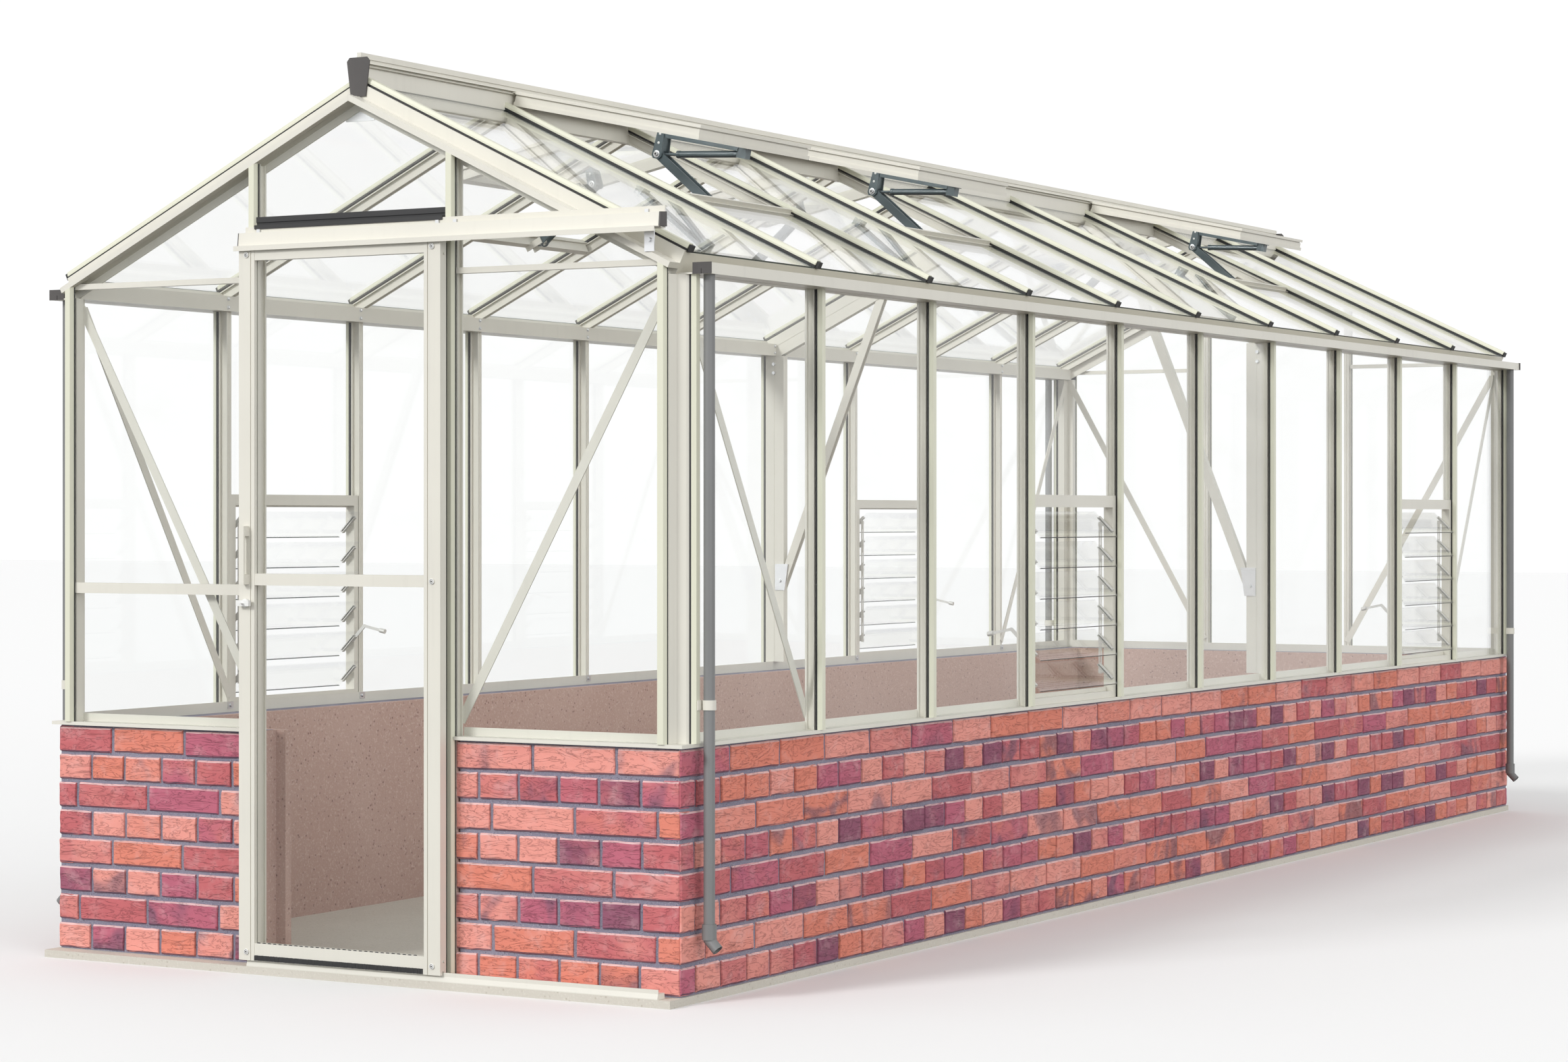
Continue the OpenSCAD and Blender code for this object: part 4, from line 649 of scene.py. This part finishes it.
def repeat_tree(name):
    """Geometry tree that lays a row of shapes from each point of the carrier."""
    t, i, o = group_tree(name, "GeometryNodeTree", {
        "in": [("Geometry", "NodeSocketGeometry"), ("Shape", "NodeSocketObject"),
               ("Count", "NodeSocketInt", 1), ("Step", V), ("Turn", V), ("Jitter", F, 0.0),
               ("Seed", "NodeSocketInt", 0), ("Finish", "NodeSocketMaterial"),
               ("Hollow", "NodeSocketMaterial")],
        "out": [("Geometry", "NodeSocketGeometry")]})
    line = put(t, "GeometryNodeMeshLine", {"Count": i["Count"], "Offset": i["Step"]})
    shift = put(t, "FunctionNodeRandomValue", {
        "Min": (-1, -1, -1), "Max": (1, 1, 1), "Seed": i["Seed"]}, data_type="FLOAT_VECTOR").outputs[0]
    laid = put(t, "GeometryNodeSetPosition", {
        "Geometry": line.outputs[0], "Offset": scaled(t, shift, i["Jitter"])})
    shape = put(t, "GeometryNodeObjectInfo", {"Object": i["Shape"]}).outputs["Geometry"]
    row = put(t, "GeometryNodeInstanceOnPoints", {
        "Points": laid.outputs[0], "Instance": shape, "Rotation": rotation(t, i["Turn"])})
    rows = put(t, "GeometryNodeInstanceOnPoints", {"Points": i["Geometry"], "Instance": row.outputs[0]})
    real = put(t, "GeometryNodeRealizeInstances", {"Geometry": rows.outputs[0]})
    plain = put(t, "GeometryNodeSetMaterial", {"Geometry": real.outputs[0], "Material": i["Finish"]})
    marked = put(t, "GeometryNodeInputNamedAttribute", {"Name": "hollow"}, data_type="FLOAT").outputs[0]
    inside = put(t, "FunctionNodeCompare", {0: marked, 1: 0.5}, data_type="FLOAT",
                 operation="GREATER_THAN").outputs[0]
    done = put(t, "GeometryNodeSetMaterial", {"Geometry": plain.outputs[0], "Selection": inside,
                                              "Material": i["Hollow"]})
    t.links.new(done.outputs[0], o["Geometry"])
    return t


def repeated(name, blank, places, finish, hollow=None, count=1, step=(0, 0, 0), turn=(0, 0, 0),
             jitter=0.0, seed=0):
    """Mesh piece with a row of count blanks at each place."""
    mesh = bpy.data.meshes.new("carrier")
    mesh.from_pydata([tuple(p) for p in places], [], [])
    return baked(mesh_object("carrier", mesh), kept("Repeat", repeat_tree), {
        "Shape": blank, "Count": count, "Step": step, "Turn": turn, "Jitter": jitter, "Seed": seed,
        "Finish": finish, "Hollow": hollow or finish}, name)


def stand(piece, body):
    """Puts a finished piece under the empty of its body."""
    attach(piece, body)
    return piece


# ---- pieces


class GREENHOUSE_OT_bricks(bpy.types.Operator):
    """Lay the outer leaf brick by brick, with recessed mortar"""
    bl_idname = "greenhouse.bricks"
    bl_label = "Brickwork"

    def execute(self, context):
        s = context.scene.greenhouse_bricks
        hw, hl, foot, head = half_size()
        reveal = reveal_half()
        quarter = math.pi / 2
        common = {"Depth": s.bite, "Courses": round((head - foot) / s.course)}
        half_pitch = (s.brick + s.joint) / 2

        def ends_whole(long, pitch):
            """Phase that ends the courses of a run with a whole brick."""
            return (long + s.joint / 2) % pitch

        front = hw - reveal
        starts = {"Header start": s.corner, "Stretcher start": s.corner}
        ends = {"Header end": s.corner, "Stretcher end": s.corner}
        runs = [
            {"Length": front, "Corner": (-hw, -hl, foot), "Turn": 0.0,
             "Header phase": half_pitch - s.joint / 2, "Stretcher phase": s.left_phase, **starts},
            {"Length": front, "Corner": (reveal, -hl, foot), "Turn": 0.0,
             "Header phase": ends_whole(front, half_pitch),
             "Stretcher phase": (front - s.right_phase) % (2 * half_pitch), **ends},
            {"Length": 2 * hl, "Corner": (hw, -hl, foot), "Turn": quarter,
             "Header phase": s.side_header, "Stretcher phase": s.side_phase, **starts, **ends},
            {"Length": 2 * hw, "Corner": (hw, hl, foot), "Turn": 2 * quarter,
             "Header phase": ends_whole(2 * hw, half_pitch),
             "Stretcher phase": (2 * hw - s.right_phase) % (2 * half_pitch), **starts, **ends},
            {"Length": 2 * hl, "Corner": (-hw, hl, foot), "Turn": -quarter,
             "Header phase": s.side_header, "Stretcher phase": s.side_phase, **starts, **ends},
        ]
        for run in runs:
            run.update(common)
        blank = brick_blank(s)
        carrier = mesh_object("brick_carrier", bpy.data.meshes.new("brick_carrier"))
        tree = brick_wall_tree(runs, blank, clay(s))
        wall = baked(carrier, tree, {"Joint": s.joint, "Course": s.course, "Pitch": s.brick + s.joint,
                                     "Wobble": s.wobble, "Seed": s.seed}, "bricks")
        bpy.data.objects.remove(blank)

        bed, deep = s.recess, s.depth
        outline = [(-reveal - bed, -hl + bed), (-hw + bed, -hl + bed), (-hw + bed, hl - bed),
                   (hw - bed, hl - bed), (hw - bed, -hl + bed), (reveal + bed, -hl + bed),
                   (reveal + bed, -hl + deep), (hw - deep, -hl + deep), (hw - deep, hl - deep),
                   (-hw + deep, hl - deep), (-hw + deep, -hl + deep), (-reveal - bed, -hl + deep)]
        joints = extruded_plan("mortar", outline, foot, head)
        joints.data.materials.append(mineral(
            "mortar", s.mortar, light=(0.46, 0.44, 0.50), dark=(0.05, 0.04, 0.055), grain=300.0,
            speckle=0.6, depth=0.002))

        # lining: its back in the brick ends, its face in the doorway, its front behind the bricks
        sunk, proud, behind = 0.0004, 0.0026, 0.003
        for side, sign in reversed(SIDES):
            x, out, near = sign * (reveal + sunk), sign * (reveal - proud), -hl + behind
            plan = [(x, near), (out, near), (out, -hl + deep), (x, -hl + deep)]
            lining = extruded_plan(f"reveal_{side}", plan[::-sign], foot, head)
            lining.data.materials.append(bpy.data.materials["wall_render"])
            stand(lining, "house")
        for piece in (wall, joints):
            stand(piece, "house")
        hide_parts("brick_wall")
        return {"FINISHED"}


def reveal_half():
    """Half width of the doorway in the bricks, read from the mesh of the leaf."""
    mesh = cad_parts["brick_wall"].data
    low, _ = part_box("brick_wall")
    xs = [abs(v.co.x) for v in mesh.vertices if v.co.y < low[1] + 0.001]
    return min(xs)


class GREENHOUSE_OT_coat(bpy.types.Operator):
    """Coat the frame, the bar caps, the gutters, the louvre frames and the door"""
    bl_idname = "greenhouse.coat"
    bl_label = "Coated metal"

    def execute(self, context):
        s = context.scene.greenhouse_finish
        ivory = coated("ivory_coat", s.ivory, darker(s.ivory, 0.74), mottle=0.16, streaks=0.14,
                       roughness=0.36)
        sage = coated("sage_coat", s.sage, darker(s.sage, 0.80), mottle=0.12, streaks=0.10,
                      roughness=0.34)
        names = ["wall_cill", "corner_posts", "wall_bars", "gable_frames", "eave_beams", "gutters",
                 "pipe_clips", "ridge_beam", "roof_bars", "portal_frame", "corner_braces",
                 "louvre_frames", "vent_sills", "door_track", "door_threshold", "door_frame",
                 "door_handle"]
        names += [f"vent_{side}_{part}" for side, _ in SIDES for part in VENTS]
        dress(ivory, *names)
        dress(sage, "wall_bar_caps", "roof_bar_caps")
        return {"FINISHED"}


def along(box):
    """Length of a shell along the house."""
    return box[1].y - box[0].y


def is_pane(face, box):
    """Whether a shell of a vent is its pane: longer than the opener, shorter than the frame."""
    return 0.5 < along(box) < 0.57


def is_opener(face, box):
    """Whether a shell of a vent belongs to its opener."""
    return along(box) < 0.1


def is_louvre_pane(face, box):
    """Whether a shell of a louvre blade is its glass: longer than the clips."""
    return along(box) > 0.3


def is_louvre_edge(face, box):
    """Whether a face is in the lower cut edge of a louvre's glass."""
    return is_louvre_pane(face, box) and face.area < 0.004 and face.center.z < box[0].z + 0.02


def is_cut_edge(face, box):
    """Whether a face of a roof pane is one of its steep cut edges."""
    return abs(face.normal.z) < 0.6


class GREENHOUSE_OT_glaze(bpy.types.Operator):
    """Glaze walls, roof, door and louvres"""
    bl_idname = "greenhouse.glaze"
    bl_label = "Glass"

    def execute(self, context):
        s = context.scene.greenhouse_finish
        clear = pane("clear_pane", s.glass, s.dust)
        edge = coated("glass_edge", s.edge, (0.10, 0.14, 0.13), mottle=0.3, streaks=0.0,
                      roughness=0.22)
        dress(clear, "wall_glass", "roof_glass", "door_panes")
        paint("roof_glass", edge, is_cut_edge)
        for side, _ in SIDES:
            for part in VENTS:
                paint(f"vent_{side}_{part}", clear, is_pane)
            for k in BLADES:
                paint(f"louvre_blade_{side}_{k}", clear, is_louvre_pane)
                paint(f"louvre_blade_{side}_{k}", edge, is_louvre_edge)
        return {"FINISHED"}


class GREENHOUSE_OT_seals(bpy.types.Operator):
    """Colour the rubber seals and the moulded end caps"""
    bl_idname = "greenhouse.seals"
    bl_label = "Seals and caps"

    def execute(self, context):
        s = context.scene.greenhouse_finish
        dress(coated("seal_rubber", s.seal, (0.05, 0.05, 0.052), mottle=0.3, streaks=0.1,
                     roughness=0.62), "rubber_seals")
        dress(coated("cap_plastic", s.cap, (0.11, 0.10, 0.095), mottle=0.3, streaks=0.15,
                     roughness=0.5), "end_caps")
        return {"FINISHED"}


class GREENHOUSE_OT_rainwater(bpy.types.Operator):
    """Colour the rain pipes"""
    bl_idname = "greenhouse.rainwater"
    bl_label = "Rain pipes"

    def execute(self, context):
        s = context.scene.greenhouse_finish
        dress(coated("pipe_plastic", s.pipe, (0.27, 0.27, 0.27), mottle=0.25, streaks=0.3,
                     roughness=0.48), "downpipes")
        return {"FINISHED"}


class GREENHOUSE_OT_masonry(bpy.types.Operator):
    """Finish the concrete slab and the rendered inner leaf"""
    bl_idname = "greenhouse.masonry"
    bl_label = "Slab and render"

    def execute(self, context):
        s = context.scene.greenhouse_finish
        dress(mineral("slab_concrete", s.slab, light=(0.78, 0.75, 0.68), dark=(0.34, 0.29, 0.22),
                      grain=170.0, speckle=0.45), "foundation_slab")
        dress(mineral("wall_render", s.render, light=(0.64, 0.49, 0.44), dark=(0.16, 0.08, 0.07),
                      grain=150.0, speckle=0.8, depth=0.0008), "inner_wall")
        return {"FINISHED"}


class GREENHOUSE_OT_fittings(bpy.types.Operator):
    """Colour the openers, arms, rods, levers, rollers, lock and bolts"""
    bl_idname = "greenhouse.fittings"
    bl_label = "Fittings"

    def execute(self, context):
        s = context.scene.greenhouse_finish
        slate = coated("slate_coat", s.slate, (0.16, 0.19, 0.20), mottle=0.35, streaks=0.1,
                       roughness=0.34)
        zinc = coated("bright_zinc", s.zinc, (0.5, 0.5, 0.5), mottle=0.3, streaks=0.0, roughness=0.3,
                      metallic=0.9, peel=0.00005)
        mill = coated("mill_metal", s.mill, (0.5, 0.5, 0.48), mottle=0.3, streaks=0.2, roughness=0.4,
                      metallic=0.12)
        nylon = coated("white_nylon", s.nylon, (0.6, 0.6, 0.56), mottle=0.2, streaks=0.0,
                       roughness=0.4)
        for side, _ in SIDES:
            for part in VENTS:
                dress(slate, f"vent_arm_{side}_{part}")
                paint(f"vent_{side}_{part}", slate, is_opener)
            dress(nylon, f"door_roller_{side}")
            dress(mill, f"louvre_rod_{side}", f"louvre_lever_{side}",
                  *[f"louvre_blade_{side}_{k}" for k in BLADES])
        dress(zinc, "frame_fittings")
        dress(nylon, "door_lock")
        return {"FINISHED"}


# places on the door, in metres: its face, middle of a stile, heights of the screws
DOOR_FACE, STILE, RAIL_SCREWS, MID_SCREW = -3.2274, 0.292, (0.059, 1.850), 1.016
# inner face of an eave beam, height of the upper bolt, gap to the lower one, places along the house
EAVE_FACE, EAVE_BOLT, BOLT_GAP = 0.9301, 1.797, 0.0245
EAVE_BOLTS_Y = [-3.1115 + 0.6223 * k - 0.024 for k in range(1, 10)]
# pivot of an opener and its arm, ears each side of the middle, rivets above it, slope of the vent
PIVOT_X, PIVOT_Z, EAR_OUT, RIVET_RISES, VENT_SLOPE = 0.308715, 2.17288, 0.0205, (0.031, 0.056), 12


def vent_pivot(side, sign, part):
    """Place of the pivot between an opener and its arm, in the middle of the arm."""
    low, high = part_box(f"vent_arm_{side}_{part}")
    return Vector((sign * PIVOT_X, (low[1] + high[1]) / 2, PIVOT_Z))


class GREENHOUSE_OT_fixings(bpy.types.Operator):
    """Fit the screws of the door, the eaves bolts, and the washers and rivets of the openers"""
    bl_idname = "greenhouse.fixings"
    bl_label = "Fixings"

    def execute(self, context):
        s = context.scene.greenhouse_finish
        trim = context.scene.greenhouse_trim
        white = coated("white_head", s.nylon, darker(s.nylon, 0.8), mottle=0.15, streaks=0.0,
                       roughness=0.35)
        zinc = bpy.data.materials["bright_zinc"]
        # black rubber, painted into the recesses of screw heads and washers as their shade
        dark = bpy.data.materials["seal_rubber"]
        quarter = math.radians(90)

        r = trim.screw_r
        head = turned_blank("screw_blank", [
            (r, 0), (r, 0.0007), (0.86 * r, 0.0012), (0.72 * r, 0.0011), (0.66 * r, 0.0003),
            (0.58 * r, 0.0003), (0.54 * r, 0.0012), (0.30 * r, 0.0014), (0.26 * r, 0.0002), (0, 0.0002)],
            16, (3, 4, 7, 8))
        spots = [(side * STILE, DOOR_FACE, z) for side in (-1, 1) for z in RAIL_SCREWS]
        spots.append((STILE, DOOR_FACE, MID_SCREW))
        # the hollow steps of the screw heads are painted black as shade
        stand(repeated("door_screws", head, spots, white, dark, turn=(quarter, 0, 0)),
              "door")

        r = trim.bolt_r
        bolt = turned_blank("bolt_blank", [(r, 0), (r, 0.0012), (0.75 * r, 0.0016), (0.75 * r, 0.0042),
                                           (0.5 * r, 0.0054), (0, 0.0054)], 8)
        for side, sign in reversed(SIDES):
            spots = [(sign * EAVE_FACE, y, EAVE_BOLT) for y in EAVE_BOLTS_Y]
            stand(repeated(f"eaves_bolts_{side}", bolt, spots, zinc, count=2, step=(0, 0, -BOLT_GAP),
                           turn=(0, -quarter * sign, 0)), "house")

        r = trim.pivot_r
        washer = turned_blank("pivot_blank", [
            (r, 0), (r, 0.0014), (0.68 * r, 0.0018), (0.65 * r, 0.0008), (0.58 * r, 0.0008),
            (0.56 * r, 0.0054), (0.48 * r, 0.0060), (0.30 * r, 0.0060), (0.27 * r, 0.0052), (0, 0.0052)],
            12, (2, 3, 7, 8))
        q = trim.rivet_r
        rivet = turned_blank("rivet_blank", [(q, 0), (0.85 * q, 0.0009), (0.45 * q, 0.0016),
                                             (0, 0.0018)], 8)
        slope = math.radians(VENT_SLOPE)
        for side, sign in SIDES:
            up = Vector((sign * math.sin(slope), 0, math.cos(slope)))
            for part in VENTS:
                for end, way in (("near", -1), ("far", 1)):
                    tag, body = f"{side}_{part}_{end}", f"vent_{side}_{part}"
                    seat = vent_pivot(side, sign, part)
                    seat.y += way * EAR_OUT
                    spots = [seat + up * rise for rise in RIVET_RISES]
                    turn = (-quarter * way, 0, 0)
                    # the groove and the hole of each washer are painted black as shade
                    stand(repeated(f"opener_washer_{tag}", washer, [seat], zinc, dark, turn=turn),
                          body)
                    stand(repeated(f"opener_rivets_{tag}", rivet, spots, white, turn=turn),
                          body)
        for blank in (head, bolt, washer, rivet):
            bpy.data.objects.remove(blank)
        return {"FINISHED"}


# side brushes: distance from the middle, place behind the door, lowest and highest tuft
BRUSH_X, BRUSH_Y, BRUSH_FOOT, BRUSH_HEAD = 0.3085, -3.1872, 0.040, 1.860
# foot brush: half length, place, height over the door's foot, distance between tufts, length
SWEEP_HALF, SWEEP_Y, SWEEP_UP, SWEEP_PITCH, SWEEP = 0.2655, -3.2249, 0.0012, 0.0026, 0.0130
# teeth of the glazing seal: start, length of the row, place, height over the door's foot
TEETH_X, TEETH_LONG, TEETH_Y, TEETH_UP = -0.258, 0.512, -3.2232, 0.0458


class GREENHOUSE_OT_brushes(bpy.types.Operator):
    """Set the brush strips beside and under the door, and the teeth of its glazing seal"""
    bl_idname = "greenhouse.brushes"
    bl_label = "Brushes and teeth"

    def execute(self, context):
        trim = context.scene.greenhouse_trim
        dark = bpy.data.materials["seal_rubber"]
        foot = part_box("door_frame")[0][2]

        long = trim.pile
        pile = turned_blank("pile_blank", [(0.0012, 0), (0.0014, 0.5 * long), (0.0004, long),
                                           (0, long)], 5)
        spots = [(side * BRUSH_X, BRUSH_Y, BRUSH_FOOT) for side in (-1, 1)]
        stand(repeated("side_brushes", pile, spots, dark, step=(0, 0, trim.pile_pitch),
                       count=round((BRUSH_HEAD - BRUSH_FOOT) / trim.pile_pitch),
                       turn=(math.radians(90), 0, 0), jitter=0.0005, seed=trim.seed),
              "house")

        tuft = turned_blank("tuft_blank", [(0.0017, 0), (0.0019, 0.7 * SWEEP), (0.0016, SWEEP),
                                           (0, SWEEP)], 6)
        stand(repeated("foot_brush", tuft, [(-SWEEP_HALF, SWEEP_Y, foot + SWEEP_UP)], dark,
                       count=round(2 * SWEEP_HALF / SWEEP_PITCH), step=(SWEEP_PITCH, 0, 0),
                       jitter=0.0003, seed=trim.seed + 1), "door")

        tooth = turned_blank("tooth_blank", [(0.0012, 0), (0.0014, 0.001), (0.0014, 0.008),
                                             (0.0010, 0.009), (0, 0.009)], 6)
        stand(repeated("seal_teeth", tooth, [(TEETH_X, TEETH_Y, foot + TEETH_UP)], dark,
                       count=round(TEETH_LONG / trim.dash_pitch), step=(trim.dash_pitch, 0, 0),
                       turn=(0, math.radians(90), 0)), "door")
        for blank in (pile, tuft, tooth):
            bpy.data.objects.remove(blank)
        return {"FINISHED"}


class GREENHOUSE_OT_stage(bpy.types.Operator):
    """Set up the camera, the pale floor and the soft light"""
    bl_idname = "greenhouse.stage"
    bl_label = "Stage"

    def execute(self, context):
        s = context.scene.greenhouse_stage
        camera = bpy.data.objects.new("camera", bpy.data.cameras.new("camera"))
        context.scene.collection.objects.link(camera)
        camera.location = (5.2755, -10.1558, 1.1774)
        camera.rotation_euler = (math.radians(90), 0, math.radians(29.834))
        camera.data.lens = s.lens
        camera.data.sensor_width = 36
        camera.data.shift_y = -0.0092
        camera.data.clip_end = 500
        context.scene.camera = camera
        context.scene.view_settings.view_transform = "Standard"

        bm = bmesh.new()
        bmesh.ops.create_grid(bm, x_segments=1, y_segments=1, size=s.floor)
        floor = from_bmesh("floor", bm)
        mat, tree, shader = new_material("floor_paper", roughness=0.9, specular=0.1)
        tone = mixed(tree, put(tree, "ShaderNodeLightPath").outputs["Is Diffuse Ray"],
                     solid([0.9] * 3), solid([s.bounce] * 3))
        tree.links.new(tone, shader.inputs["Base Color"])
        floor.data.materials.append(mat)

        world = context.scene.world or bpy.data.worlds.new("world")
        context.scene.world = world
        world.use_nodes = True
        sky = world.node_tree
        back = sky.nodes["Background"]
        back.inputs["Color"].default_value = (1, 1, 1, 1)
        way = put(sky, "ShaderNodeTexCoord").outputs["Generated"]
        height = put(sky, "ShaderNodeSeparateXYZ", {0: way}).outputs[2]
        sky.links.new(spread(sky, height, 0.2, 0.75, s.sky, s.zenith), back.inputs["Strength"])

        # name, strength, width in degrees, way that the light goes
        for name, power, angle, way in (("key", s.key, 14, (0.35, 0.9, -0.5)),
                                        ("fill", s.fill, 40, (-0.9, 0.3, -0.15))):
            sun = bpy.data.objects.new(name, bpy.data.lights.new(name, "SUN"))
            context.scene.collection.objects.link(sun)
            sun.data.energy = power
            sun.data.angle = math.radians(angle)
            sun.rotation_euler = Vector(way).to_track_quat("-Z", "Y").to_euler()
        return {"FINISHED"}


class GREENHOUSE_PT_panel(bpy.types.Panel):
    """Lists the pieces and their settings"""
    bl_idname = "GREENHOUSE_PT_panel"
    bl_label = "Greenhouse"
    bl_space_type = "VIEW_3D"
    bl_region_type = "UI"
    bl_category = "Greenhouse"

    def draw(self, context):
        for operator in OPERATORS:
            self.layout.operator(operator.bl_idname)
        for key, group in SETTINGS:
            box = self.layout.box()
            for name in group.__annotations__:
                box.prop(getattr(context.scene, key), name)


OPERATORS = (GREENHOUSE_OT_masonry, GREENHOUSE_OT_bricks, GREENHOUSE_OT_coat, GREENHOUSE_OT_glaze,
             GREENHOUSE_OT_seals, GREENHOUSE_OT_rainwater, GREENHOUSE_OT_fittings, GREENHOUSE_OT_fixings,
             GREENHOUSE_OT_brushes, GREENHOUSE_OT_stage)
SETTINGS = (("greenhouse_bricks", BrickSettings), ("greenhouse_finish", FinishSettings),
            ("greenhouse_trim", TrimSettings), ("greenhouse_stage", StageSettings))


def register():
    for _, group in SETTINGS:
        bpy.utils.register_class(group)
    for cls in (*OPERATORS, GREENHOUSE_PT_panel):
        bpy.utils.register_class(cls)
    for key, group in SETTINGS:
        setattr(bpy.types.Scene, key, PointerProperty(type=group))


def unregister():
    for key, _ in SETTINGS:
        delattr(bpy.types.Scene, key)
    for cls in (GREENHOUSE_PT_panel, *reversed(OPERATORS)):
        bpy.utils.unregister_class(cls)
    for _, group in reversed(SETTINGS):
        bpy.utils.unregister_class(group)


def main():
    register()
    bpy.ops.greenhouse.stage()
    bpy.ops.greenhouse.masonry()
    bpy.ops.greenhouse.bricks()
    bpy.ops.greenhouse.coat()
    bpy.ops.greenhouse.seals()
    bpy.ops.greenhouse.rainwater()
    bpy.ops.greenhouse.fittings()
    bpy.ops.greenhouse.fixings()
    bpy.ops.greenhouse.brushes()
    bpy.ops.greenhouse.glaze()


if __name__ == "__main__":
    main()
